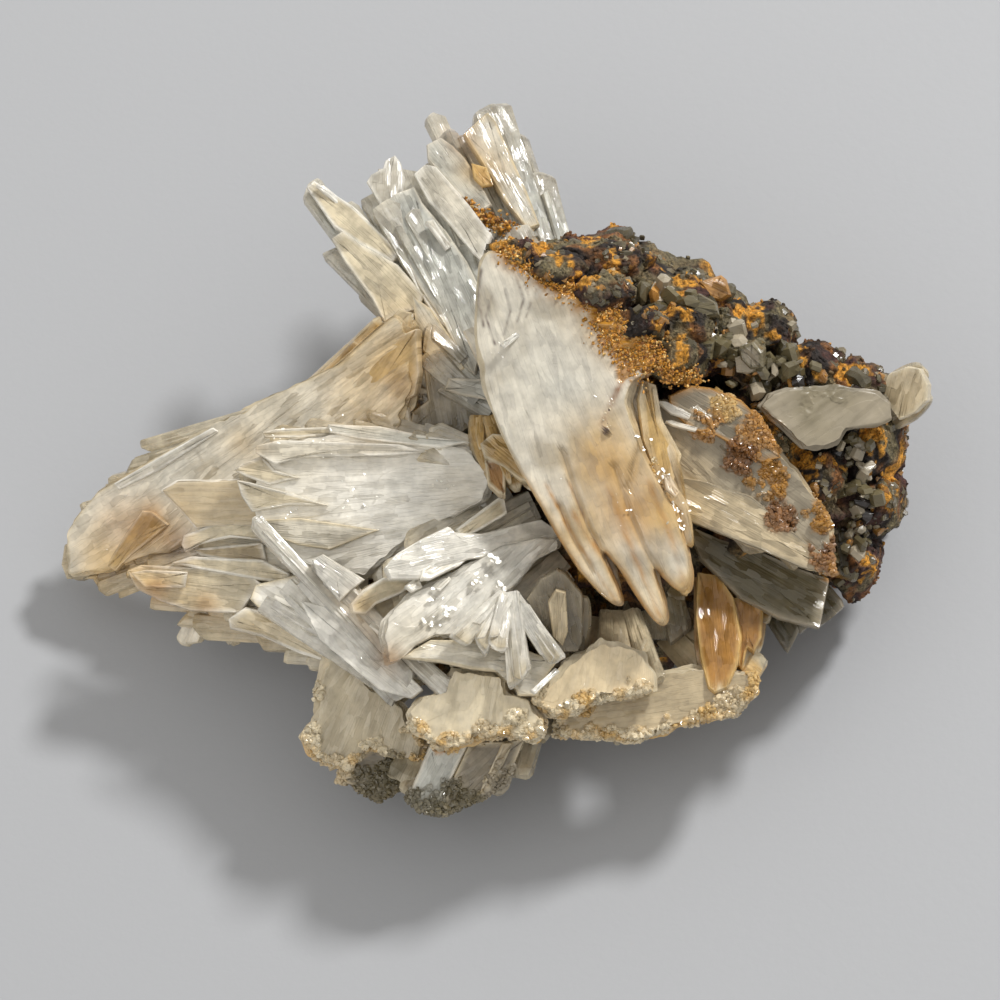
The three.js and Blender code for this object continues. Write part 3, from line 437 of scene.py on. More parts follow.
FRONT_TABLETS = [
    ("cream", "bright", 0.4, 1.3, -0.33, -0.1, 0.9, [
        (-4.1, -2.7), (-2, -1.1), (-0.2, 0.2), (0.3, 0.1), (0.6, -1.3), (-1.8, -2.7), (-3.6, -3.6)]),
    ("bright", "bright", 0.35, 2.6, -0.34, -0.2, 1, [
        (-10.4, -6.1), (-9.4, -4.9), (-7.2, -3.6), (-4.7, -2.4), (-4.1, -3), (-1.8, -3.1), (3.6, -1.8), (5.6, -3.2),
        (1, -5), (-3, -5.4), (-7.4, -7.2), (-9.9, -7.2)]),
    # The next three tablets are glint facets with bright rims: painted highlight, besides their real reflection of the
    # key lamp.
    ("milky", "bright", 0.2, 4, *FLASH, 0.6, [
        (-7, -6.3), (-5.4, -5.2), (-4.5, -4.6), (-3.4, -4.7), (-3, -5.4), (-3.6, -5.9), (-6.3, -7.2), (-7.2, -7.2)]),
    ("milky", "bright", 0.2, 4.7, *FLASH, 0.6, [(-8.6, -7.8), (-7.4, -6.9), (-7, -7.9), (-7.9, -8.3)]),
    ("milky", "bright", 0.2, 4.4, *FLASH, 0.4, [(-5.8, -8), (-4.6, -6.9), (-4.4, -7.2), (-5.4, -8.2)]),
    ("cream", "bright", 0.4, 3, -0.2, -0.1, 1.2, [
        (-13.5, -9.4), (-12.4, -8.1), (-10.6, -7), (-7.2, -7.2), (-9, -8.5), (-11.2, -9.4), (-12.1, -10.3),
        (-13.3, -10.2)]),
    ("milky", "cream", 0.3, 4.3, -0.1, -0.15, 1.2, [
        (-9, -14.2), (-6.3, -12.6), (0, -12.6), (3.6, -14), (5.2, -14.4), (4, -16), (3.4, -17.6), (1.6, -17.6),
        (0.9, -15.6), (-2.7, -15.2), (-5.4, -14.6)]),
    # A glint facet tinted bright: painted highlight, besides its real reflection of the key lamp.
    ("bright", "bright", 0.3, 6, *FLASH, 0.5, [(2.7, -17.1), (4.9, -15.1), (5.3, -15.4), (3.1, -17.4)]),
]
FRONT_FAN_SLAB = dict(
    corners=[(-10.3, -14.9), (-10.9, -12.6), (-10.8, -10.8), (-9.4, -9.4), (-8.1, -8.1), (-6.3, -7.2), (-2.7, -5.4),
             (0, -4), (3.6, -3.2), (5.6, -3.4), (5.6, -4.2), (3.6, -5.2), (1.8, -7.6), (0, -9), (-1.8, -10.8),
             (-3.6, -12.6), (-6.3, -12.6), (-8.1, -13.5), (-9.2, -14.6)],
    depth=3.2, slope=(-0.2, -0.14), thick=1.6, focus=(16, 8),
)
PRISM_TABLETS = [
    ("bright", "bright", 0.6, 4.9, 0.1, -0.1, 1.2, [
        (1.8, -9), (2.7, -9.4), (5.4, -13.5), (5.2, -14.4), (3.6, -13.9), (1.8, -11.2)]),
]
UPRIGHT_TABLETS = [
    ("smoky", "smoky", 0.6, 3.2, 0, 0.3, 1.2, [
        (2.4, -8.8), (3.6, -7), (5.2, -6.1), (5.9, -6.5), (7.4, -8.3), (7.4, -12.6), (7, -13.5), (5.4, -13.5),
        (4, -12.6)]),
    ("beige", "beige", 0.5, 3.9, 0, 0.25, 1.4, [
        (4.3, -9), (5, -7.9), (5.9, -8.1), (6.1, -11.7), (5.6, -13), (4.7, -12.1)]),
]
CLUSTER_TABLETS = [
    ("amber", "cream", 0.5, 1.2, 0, -0.45, 1.2, [
        (-1.4, 3.4), (0, 3.4), (0.5, 2.7), (0.5, 0.2), (-0.2, 0.4), (-1.1, 1.3)]),
    ("honey", "cream", 0.5, 0.7, 0, -0.45, 1.2, [
        (-1.8, 4.9), (-0.7, 5.8), (0.5, 5.7), (2.7, 3.2), (3.6, 1.1), (1.8, 1.6), (0.3, 2.7), (-1.4, 3.6)]),
]
INNER_TABLETS = [
    # This tablet's olive is partly painted shade, where the wing and the main blade shade it.
    ("olive", "smoky", 0.5, -3.5, 0.05, -0.05, 1.2, [
        (-7, 13), (-5, 11), (-2.7, 10.8), (-1.5, 9), (-2.2, 6.7), (-3.1, 6.3), (-4, 5.4), (-6.3, 5.7),
        (-8.3, 6.1), (-7.9, 7.9), (-6.5, 9)]),
    ("blue_grey", "milky", 0.4, -2.2, 0.05, -0.05, 0.8, [(-5, 9.9), (-4.6, 11), (-1.6, 10.9), (-1, 9), (-3.6, 9.4)]),
]
TONGUES = [
    ("honey", "cream", 0.35, 4.4, -0.2, -0.05, 1.6, [
        (12.6, 10.8), (13.9, 10.3), (14.4, 7.2), (16.2, 4), (15.5, 1.8), (15.1, 0), (13.9, 1.8), (12.6, 5.4),
        (12.2, 9)]),
    # Two glint facets tinted bright: painted highlight, besides their real reflection of the key lamp.
    ("bright", "bright", 0.3, 6.4, *FLASH, 0.5, [(0, 13.9), (0.4, 13.5), (1.5, 14.4), (2.2, 14.9), (1.8, 15.3)]),
    ("bright", "bright", 0.3, 6.3, *FLASH, 0.5, [(14.6, 2.2), (15.1, 2.3), (16, 0.6), (15.6, 0.2), (14.8, 0.9)]),
]
PLATE_TABLETS = [
    ("smoky", "beige", 0.5, -3, -0.06, 0.1, 1.6, [
        (-14.4, -24.2), (-11.5, -22.3), (-8.5, -23.4), (-7.6, -23.8), (-8.5, -25.6), (-9.4, -26.3), (-11, -27.2),
        (-12.4, -26.5), (-13.5, -25.6), (-14.8, -25.4)]),
]
LOW_TABLETS = [
    ("blue_grey", "milky", 0.4, 1.4, 0.05, 0.1, 1.8, [
        (-6.3, -22), (-2.7, -21.6), (-4.6, -25.6), (-5.4, -28.2), (-7.2, -28), (-8.4, -26.9)]),
    ("smoky", "cream", 0.4, 0.9, -0.1, 0.1, 1.8, [
        (-2.8, -21.6), (0, -21.6), (2.2, -21.4), (0.4, -25.6), (-1.8, -26.9), (-4.4, -28), (-5.3, -28.3),
        (-4.9, -26.1)]),
    ("beige", "cream", 0.4, 1.9, -0.1, 0.1, 0.6, [(0.2, -21.8), (1.2, -21.8), (-0.9, -26.1), (-2, -26.6)]),
]
RIGHT_TABLETS = [
    ("beige", "smoky", 0.35, 0.8, -0.14, 0.05, 1.6, [
        (15.1, 0.9), (15.5, 2.2), (18, 1.8), (22.5, 0.4), (26.1, -2.7), (29.7, -5.4), (30.1, -6.7), (27, -6.1),
        (23.4, -4.5), (19.8, -3.1), (17.1, -2), (15.7, -0.7)]),
    ("smoky", "smoky", 0.5, 1.2, -0.14, 0.05, 1, [
        (14.6, 5.4), (16.2, 5.8), (22, 2.7), (22, 0.4), (18, 1.3), (15.5, 2.2), (14.8, 3.6)]),
    ("smoky", "amber", 0.4, 1.9, -0.14, 0.05, 1.4, [
        (15.1, 9.4), (17.1, 10.3), (18.9, 10.1), (21.6, 9), (23.4, 7.2), (24.7, 4.9), (25.2, 3.8), (23.4, 3.4),
        (21.6, 4.5), (19.3, 5.8), (17.1, 6.3), (15.1, 8.1)]),
    # Two long glint facets tinted bright: painted highlight, besides their real reflection of the key lamp.
    ("bright", "bright", 0.2, 3.4, *FLASH, 0.5, [(14, 8.8), (14.8, 8.8), (17.1, 7.6), (16.9, 7.2), (15.3, 7.7)]),
    ("bright", "bright", 0.2, 3.6, *FLASH, 0.5, [(14.8, 7), (15.3, 7.1), (17.7, 6.4), (17.5, 6.1), (15.5, 6.6)]),
]
UNDER_TABLETS = [
    ("olive", "smoky", 0.3, -3.4, -0.1, -0.2, 1.4, [
        (16.6, -2.2), (19.8, -3.6), (23.4, -4.7), (27, -6.3), (29.7, -7.2), (28.8, -11.7), (25.2, -10.8),
        (21.6, -9), (18, -5.4)]),
]
HANGING_TABLETS = [
    ("amber", "honey", 0.4, -1.9, 0, -0.37, 1.5, [
        (17.8, -6.7), (19.8, -7), (21.1, -9), (21.8, -12.6), (21.4, -15.1), (20.5, -17.1), (19.3, -17.6),
        (18.7, -17.1), (18, -14.4), (17.6, -10.8)]),
    ("amber", "honey", 0.5, -2.8, 0, -0.3, 1.4, [
        (20.9, -9), (22, -8.8), (23.8, -10.1), (23.6, -12.6), (22.9, -13.9), (22.3, -13.5), (21.8, -15.5),
        (21.4, -15.1), (21.6, -12.6)]),
]
EDGE_TABLETS = [
    ("beige", "cream", 0.3, -5.4, 0.3, 0, 1.8, [
        (34.2, 10.5), (35.5, 11.5), (37.1, 12.1), (38.2, 11.9), (38.9, 10.4), (38.8, 9), (37.8, 7.9), (36.3, 7.2),
        (35.8, 7.9), (35, 9)]),
]
ROCK_TABLETS = [
    ("olive", "olive", 0.3, 1.2, 0.1, -0.2, 2.8,
     [(16.5, 18), (18, 18.4), (19.6, 17.5), (19.8, 16.4), (17.1, 15.7), (16.4, 16.6)]),
    ("olive", "olive", 0.3, 2.2, 0.1, 0.3, 2.2,
     [(13.9, 14.2), (17.1, 14.8), (19.3, 14.4), (19.1, 12.8), (17.1, 12.8), (15.3, 13.5)]),
    ("smoky", "olive", 0.3, 1.2, 0.2, 0.2, 2.6,
     [(21.6, 13.9), (22.9, 14.4), (23.8, 13.5), (23.8, 12.1), (22.7, 11.9), (21.8, 12.8)]),
    ("amber", "amber", 0.4, -2.4, 0.1, -0.1, 2.2,
     [(18, 19.6), (20, 20.2), (20.5, 19.8), (20.9, 18.4), (20, 17.8), (19.1, 18)]),
    ("amber", "beige", 0.3, 3.8, 0.1, 0.2, 1.6, [(9.6, 20.7), (10.3, 20.9), (11, 18.4), (11, 16.9), (10.3, 17.3)]),
]

# One rock lump is the u, v and w of its centre and its radii along the part's own X, Y and Z.
ROCK_LUMPS = [
    (14, 2, -13, 17, 13, 12), (25, 1, -12, 11, 10, 10), (2, -4, -14, 16, 13, 10), (11, 14, -10, 10, 8, 11),
    (-6, 0, -13, 10, 9, 8), (8, -9, -13, 12, 8, 7), (6, 20.4, -4, 3, 3, 4),
    (9.6, 21.6, -4.6, 3.4, 3, 4), (12.6, 19, -3.4, 3.6, 3.2, 4.2), (16.6, 16.8, -3.4, 3.8, 3.4, 4.4),
    (19.6, 14.4, -3.6, 3.6, 3.4, 4.4), (23.8, 14.8, -5.4, 3.4, 3, 4), (27.6, 11.2, -5.6, 3.8, 3.4, 4.6),
    (31.8, 8.8, -6.4, 3.8, 3.4, 4.6), (33.6, 4.4, -8.4, 3.4, 3.8, 5), (33.4, -0.6, -9.4, 3.4, 3.6, 5),
    (31.8, -5.6, -9.6, 3, 3.6, 5), (24, 6, -5, 5, 4.4, 5), (28.6, 1.6, -5.6, 3.6, 3.8, 4.6),
    (7, 20.4, 0.2, 7, 2.6, 4.6), (15, 14.4, 0.4, 4.8, 3.2, 4.8), (2.2, 21.4, 3.4, 3, 1.6, 3.4),
    (5.4, 20, 4, 2.8, 1.7, 3.8), (9.2, 17.8, 4.2, 3, 1.8, 4), (12.6, 15.2, 4.2, 2.8, 1.8, 4),
    (15.8, 12.2, 3.6, 2.8, 1.9, 4),
]
ROCK_CRYSTALS = [
    (17, 13, -5, 20.6, 20.5, -3, 2.8, 2.2, 20),
    (15.6, 12, -6, 18.4, 18.6, 0.6, 3.2, 2.6, 30),
    (10, 17, -7, 10.7, 25.1, -3.2, 2.6, 2.2, -25),
    (30.4, 3, -8, 31.4, -7.8, -5, 2.2, 1.8, -20),
    (24, 8, -6, 26.6, 14.6, -1.2, 2.8, 2.2, 25),
    (29, 4, -9, 32.8, 11.8, -3, 2.6, 2.2, -20),
]

# Iron staining on the crystals: u, v and radius of each patch, its strength and the stain's colour.
STAINS = [
    (-8.4, 13.5, 4.2, 0.7, "honey"), (-9, 10.4, 1.8, 0.5, "amber"), (-5, 9, 3, 0.6, "smoky"),
    (-3.6, 1, 2.6, 0.5, "smoky"), (-34, -4.6, 4, 0.5, "honey"),
    (-30.5, -2.4, 2.6, 0.6, "honey"), (-1.6, 29.8, 2.6, 0.6, "honey"), (-3.6, 32.6, 1.6, 0.4, "amber"),
    (7.4, -3.4, 2.6, 0.7, "honey"), (10, -7.4, 2.4, 0.5, "cream"), (11.6, 2, 5, 0.9, "honey"),
    (9.4, 5, 4, 0.5, "honey"), (12, 0.6, 3, 0.3, "amber"),
    (7.6, 13.2, 3.4, 0.6, "bright"), (12.4, -1.4, 3, 0.5, "amber"),
    (15.6, -1.6, 2.6, 0.8, "honey"), (13.8, -9.6, 2.4, 0.5, "cream"), (16.6, -7.6, 1.4, 0.6, "honey"),
    (9, 15.2, 4, 0.5, "honey"), (9.6, 3, 3, 0.3, "amber"), (5.6, 12.2, 4.2, 0.5, "blue_grey"),
    (-33, -7.6, 3, 0.5, "honey"), (-28, -9.4, 3, 0.35, "honey"), (-22, -12.4, 2.4, 0.3, "honey"),
    (-33.5, -2.5, 2.6, 0.6, "amber"), (-31, -1.4, 1.4, 0.5, "amber"), (-36.4, -5.6, 2.4, 0.6, "honey"),
    (-29, -4, 1.8, 0.5, "rust"), (-23, 5, 2, 0.5, "honey"), (-26, 2.4, 1.8, 0.4, "beige"),
    (-12, 10, 5, 0.45, "honey"),
    (-20, 8, 4, 0.3, "beige"), (-18, 1, 5, 0.3, "cream"), (-14, -5, 3, 0.4, "smoky"),
    (-10, -14.2, 1.3, 0.7, "amber"), (-12.6, -9.4, 1.6, 0.5, "honey"), (-8.4, -12.4, 3, 0.45, "cream"),
    (-31, -8.2, 1.4, 0.7, "amber"),
    (-26.4, -9.4, 1.2, 0.5, "amber"), (28.6, 9, 3.6, 0.6, "olive"),
]
# Places where a blade is clear and shows what lies under it: u, v and radius, strength and colour.
WINDOWS = [
    (15.9, -5.4, 1.3, 0.45, "blue_grey"), (8.6, -6, 0.9, 0.4, "cream"), (9.8, -7.8, 0.8, 0.5, "beige"),
    (13.2, -8, 1.1, 0.35, "cream"),
]
# Crusts that roughen and stain a plate: u, v and radius of each patch, its strength and its colour.
CRUSTS = [
    (-16.8, -17, 1.2, 0.5, "cream"), (-17.6, -21, 1.6, 0.8, "cream"), (-15, -24.4, 1.8, 0.8, "beige"),
    (-11, -25.6, 2.4, 1, "olive"), (-9.6, -23.8, 1.6, 0.8, "olive"), (-7, -27.6, 1.9, 1, "olive"),
    (-3.6, -27, 2.2, 0.9, "olive"), (0.2, -25.4, 1.9, 0.9, "smoky"), (-4.2, -21.8, 1.3, 0.5, "honey"),
    (-1.4, -21, 1.4, 0.6, "beige"), (1.6, -20.2, 1.4, 0.6, "cream"), (-5.4, -22.2, 0.5, 0.9, "ochre"),
    (7.4, -18.2, 1.5, 0.6, "honey"), (12, -16.6, 1.6, 0.5, "beige"), (21.4, -18.2, 2.2, 0.9, "beige"),
    (23.2, -16.6, 1.8, 0.9, "honey"),
    (18.4, -19.6, 1.2, 0.6, "honey"), (20, 8.8, 1.8, 0.7, "honey"), (23.4, 5.8, 2.2, 0.8, "amber"),
    (24, 1.8, 1.9, 0.9, "ochre"), (25, -1.4, 1.6, 0.9, "rust"), (28.6, -1.2, 1.8, 0.8, "ochre"),
    (29, -4.6, 1.6, 0.9, "rust"), (30.2, -6.6, 1.2, 0.9, "amber"), (29, 9, 3.8, 0.3, "olive"),
    (18.4, 6.8, 1.6, 0.7, "amber"), (21.4, 3.8, 1.8, 0.7, "rust"),
    (5.4, 19, 1, 1, "ochre"), (7.6, 18.2, 1.2, 1, "ochre"), (9.4, 16.8, 1.4, 1, "ochre"),
    (11.4, 15, 1.7, 1, "ochre"), (12.8, 13.2, 2, 1, "ochre"), (14.2, 12, 1.6, 1, "ochre"),
    (11.4, 11.4, 1.1, 0.8, "amber"), (3.4, 20.6, 0.7, 1, "ochre"), (1.6, 21.8, 0.6, 1, "ochre"),
    (9.5, 6.2, 0.3, 1, "russet"),
]
# Brown hairline veins: the line that each follows, its half width, its strength and its colour.
VEINS = [
    ([(-1.6, 20.6), (-1.9, 18), (-1.4, 15.6)], 0.16, 0.5, "russet"),
    ([(-0.7, 18.2), (-1.2, 16.4), (-0.4, 14)], 0.14, 0.5, "russet"),
    ([(0.5, 18.8), (1, 16.9), (0.4, 14.8)], 0.14, 0.4, "russet"),
    ([(1.4, 20.2), (2.2, 18), (1.6, 16)], 0.14, 0.5, "russet"),
    ([(2.4, 19.2), (2.8, 17.6), (2.4, 16.4)], 0.12, 0.4, "russet"),
    ([(10.6, 12.4), (11, 10.8), (10.2, 9), (9.2, 6.8)], 0.3, 0.5, "rust"),
    ([(6.6, -1.2), (8, -3.2), (9, -4.8)], 0.3, 0.6, "amber"),
    ([(4.2, 1.4), (6.8, -3.6), (10.4, -9)], 0.22, 0.7, "amber"),
    ([(6.2, 1.6), (8.4, -3.4), (10.2, -7.2)], 0.16, 0.6, "rust"),
    ([(9.8, 1), (12.2, -5.4), (14.4, -10.4)], 0.3, 0.5, "amber"),
    ([(13.4, 1.6), (15.2, -2.8), (16.6, -7.6)], 0.3, 0.5, "amber"),
    ([(0.4, 22.2), (4.5, 19.3), (9.2, 16.5), (13.3, 13.2)], 1, 0.9, "amber"),
    ([(9.4, 14.6), (12.6, 11.6)], 1.2, 0.7, "amber"),
]


def linear(value):
    """Linear red, green and blue of an sRGB hex value such as #D9D8CC."""
    channels = [int(value[place : place + 2], 16) / 255 for place in (1, 3, 5)]
    return tuple(c / 12.92 if c <= 0.04045 else ((c + 0.055) / 1.055) ** 2.4 for c in channels)


def colour(name, description, value):
    """A colour that a user may change, whose default is an sRGB hex value."""
    return bpy.props.FloatVectorProperty(
        name=name, description=description, default=linear(value), size=3, min=0, max=1, subtype="COLOR"
    )


def length(name, description, millimetres):
    """A length that a user may change, given here in millimetres and kept in metres."""
    return bpy.props.FloatProperty(
        name=name, description=description, default=millimetres / 1000, min=0, unit="LENGTH", precision=5
    )


class BariteColours(bpy.types.PropertyGroup):
    """The colours of the crystals, their stains, the rock and the studio floor."""

    milky: colour("Milky", "Cloudy white barite", "#EBE3D0")
    # Bright is the whitest barite. On rims, on the glint facets and on the flakes that flash, it is also a painted
    # highlight.
    bright: colour("Bright", "Edges and chips that catch the light", "#F8F3E6")
    blue_grey: colour("Blue grey", "Cool, half clear barite", "#DDDCD0")
    cream: colour("Cream", "Warm white barite", "#EADBBA")
    beige: colour("Beige", "Barite with a trace of clay", "#E0CCA6")
    honey: colour("Honey", "Lightly iron-stained barite", "#DDB773")
    amber: colour("Amber", "Strongly iron-stained barite", "#C28D48")
    rust: colour("Rust", "Barite under a rusty film", "#8E5E30")
    smoky: colour("Smoky", "Grey barite over dark rock", "#A79B84")
    olive: colour("Olive", "Dark barite in the shade of the rock", "#6F6549")
    # Olive is the dark barite of the rock and its crusts. On the crystals under the wing and the main blade, and on the
    # gap blades, it is partly painted shade.
    ochre: colour("Ochre", "Powdery limonite", "#B8822F")
    russet: colour("Russet", "Purple-brown iron oxide", "#452B24")
    goethite: colour("Goethite", "Black-brown iron oxide", "#241C17")
    floor: colour("Floor", "The pale studio floor", "#A9AAAC")


class BariteShape(bpy.types.PropertyGroup):
    """The sizes of the fine detail on the crystals and the rock."""

    growth_line: length("Growth line", "Width of the strips that a blade is made of", 0.45)
    growth_relief: length("Growth relief", "How far the strips of a blade lean apart", 0.42)
    druse: length("Druse crystal", "Half length of the small crystals in a crust", 0.25)
    rock_grain: length("Rock grain", "Half length of the crystals that coat the rock", 0.45)
    clearness: bpy.props.FloatProperty(name="Clearness", description="How much light passes straight through",
                                       default=0.85, min=0, max=1, subtype="FACTOR")


def tones():
    """The user's colours by name."""
    shades = bpy.context.scene.barite_colours
    return {name: np.array(getattr(shades, name)) for name in BariteColours.__annotations__}


def unit(vectors):
    """Vectors of length one."""
    return vectors / np.linalg.norm(vectors, axis=-1, keepdims=True)


def ease(low, high, value):
    """Rises smoothly from 0 at low to 1 at high: three times the square less twice the cube."""
    share = np.clip((value - low) / (high - low), 0, 1)
    return share * share * (3 - 2 * share)


def blend(first, second, share):
    """Moves from the first value to the second by a share for each point."""
    return first + (second - first) * np.asarray(share)[..., None]


def place(points):
    """The part's own metres for layout points: the origin plus u, v and w along the three directions."""
    u, v, w = np.moveaxis(np.asarray(points, float)[..., None], -2, 0)
    return (FACE_ORIGIN + u * RIGHTWARD + v * UPWARD + w * OUTWARD) / 1000


def noise(points, size, seed=0):
    """Smooth noise from -1 to 1: hashed values on a lattice of the given size, blended by eased weights."""
    scaled = np.asarray(points, float) / size + seed * 7.31
    cell = np.floor(scaled)
    share = scaled - cell
    share = share * share * (3 - 2 * share)
    total = np.zeros(scaled.shape[:-1])
    for corner in np.ndindex(2, 2, 2):
        weight = np.prod(np.where(corner, share, 1 - share), axis=-1)
        wave = np.sin((cell + corner) @ np.array([127.1, 311.7, 74.7]) + seed) * 43758.5453
        total += weight * (wave - np.floor(wave))
    return 2 * total - 1


def patches(points, table, broken):
    """The share and colour name of each patch in a table at given points: its strength fades with the square
    of the distance from its middle, and its rim is broken up by noise."""
    for u, v, radius, strength, name in table:
        distance = np.hypot(points[..., 0] - u, points[..., 1] - v) / radius
        yield strength * np.clip(np.exp(-(distance**2) * 1.2) * broken, 0, 1), name


def distance_to(points, path):
    """How far points lie from a line through given corners, on the show face: the least over its stretches."""
    best = np.full(points.shape[:-1], 99.0)
    for start, end in zip(path[:-1], path[1:]):
        step = np.subtract(end, start)
        share = np.clip((points[..., :2] - start) @ step / (step @ step), 0, 1)
        best = np.minimum(best, np.linalg.norm(points[..., :2] - start - share[..., None] * step, axis=-1))
    return best


def stained(tint, points, palette):
    """Adds the soft iron stains and the veins, which noise tears, to a tint."""
    for share, name in patches(points, STAINS, 1 + 0.55 * noise(points, 2.2, 5)):
        tint = blend(tint, palette[name], share)
    torn = 1 + 0.8 * noise(points, 1.0, 17) + 0.6 * noise(points, 0.35, 18)
    for path, width, strength, name in VEINS:
        share = strength * np.exp(-((distance_to(points, path) / width) ** 2)) * torn
        tint = blend(tint, palette[name], np.clip(share, 0, 1))
    return tint


def crusted(tint, points, palette):
    """Adds the crusts to a tint, in grains that are either there or not, and gives how thick they are."""
    grain = 1 + 0.9 * noise(points, 1.1, 7) + 0.6 * noise(points, 0.4, 8)
    thickness = np.zeros(points.shape[:-1])
    for share, name in patches(points, CRUSTS, grain):
        cover = ease(0.22, 0.45, share)
        tint = blend(tint, palette[name] * 0.95, 0.9 * cover)
        thickness = np.maximum(thickness, cover)
    return tint, thickness


def shells(rings, first, last, data, smooth):
    """Closed shells. Each shell is a row of rings of points, anticlockwise seen from the last ring, closed by
    a pole at either end. data holds red, green, blue, clearness and the growth-line vector of each point,
    and a pole takes the mean of its ring. smooth says for each band between rings if it is shaded round."""
    count, rows, around = rings.shape[:3]
    block = rows * around + 2
    points = np.concatenate([rings.reshape(count, -1, 3), first[:, None], last[:, None]], axis=1)
    ends = data[:, [0, -1]].mean(axis=2)
    values = np.concatenate([data.reshape(count, rows * around, -1), ends], axis=1)
    row, step = np.meshgrid(np.arange(rows - 1), np.arange(around), indexing="ij")
    here = (row * around + step).ravel()
    onward = (row * around + (step + 1) % around).ravel()
    band = np.concatenate([
        np.stack([here, onward, onward + around], axis=-1),
        np.stack([here, onward + around, here + around], axis=-1),
    ])
    turn = np.arange(around)
    following = (turn + 1) % around
    top = (rows - 1) * around
    near = np.stack([following, turn, np.full(around, block - 2)], axis=-1)
    far = np.stack([top + turn, top + following, np.full(around, block - 1)], axis=-1)
    faces = np.concatenate([band, near, far])
    round_band = np.repeat(np.asarray(smooth, bool)[: rows - 1], around)
    rounded = np.concatenate([round_band, round_band, np.full(2 * around, bool(smooth[-1]))])
    faces = faces[None] + block * np.arange(count)[:, None, None]
    return points.reshape(-1, 3), values.reshape(-1, values.shape[-1]), faces.reshape(-1, 3), np.tile(rounded, count)


def joined(parts):
    """One set of points, values, faces and flags out of several."""
    starts = np.cumsum([0] + [len(part[0]) for part in parts[:-1]])
    faces = [part[2] + start for part, start in zip(parts, starts)]
    return (
        np.concatenate([part[0] for part in parts]),
        np.concatenate([part[1] for part in parts]),
        np.concatenate(faces),
        np.concatenate([part[3] for part in parts]),
    )


# The cross-section of a lath, anticlockwise from its lower right edge: across and up, each from -1 to 1.
LATH_PROFILE = np.array([
    (1, -0.5), (1, 0.4), (0.93, 0.9), (0.66, 1), (0.4, 1), (0.13, 1), (-0.13, 1), (-0.4, 1), (-0.66, 1),
    (-0.93, 0.9), (-1, 0.4), (-1, -0.5), (-0.8, -1), (0.8, -1),
])
# How far along each ring of a lath stands, from its beginning to where its tip starts and on to its end.
LATH_BODY = np.array([0, 0.35, 0.7, 1])
CHISEL_TIP = np.array([1.0])
LANCE_TIP = np.array([0.25, 0.45, 0.63, 0.78, 0.89, 0.96])


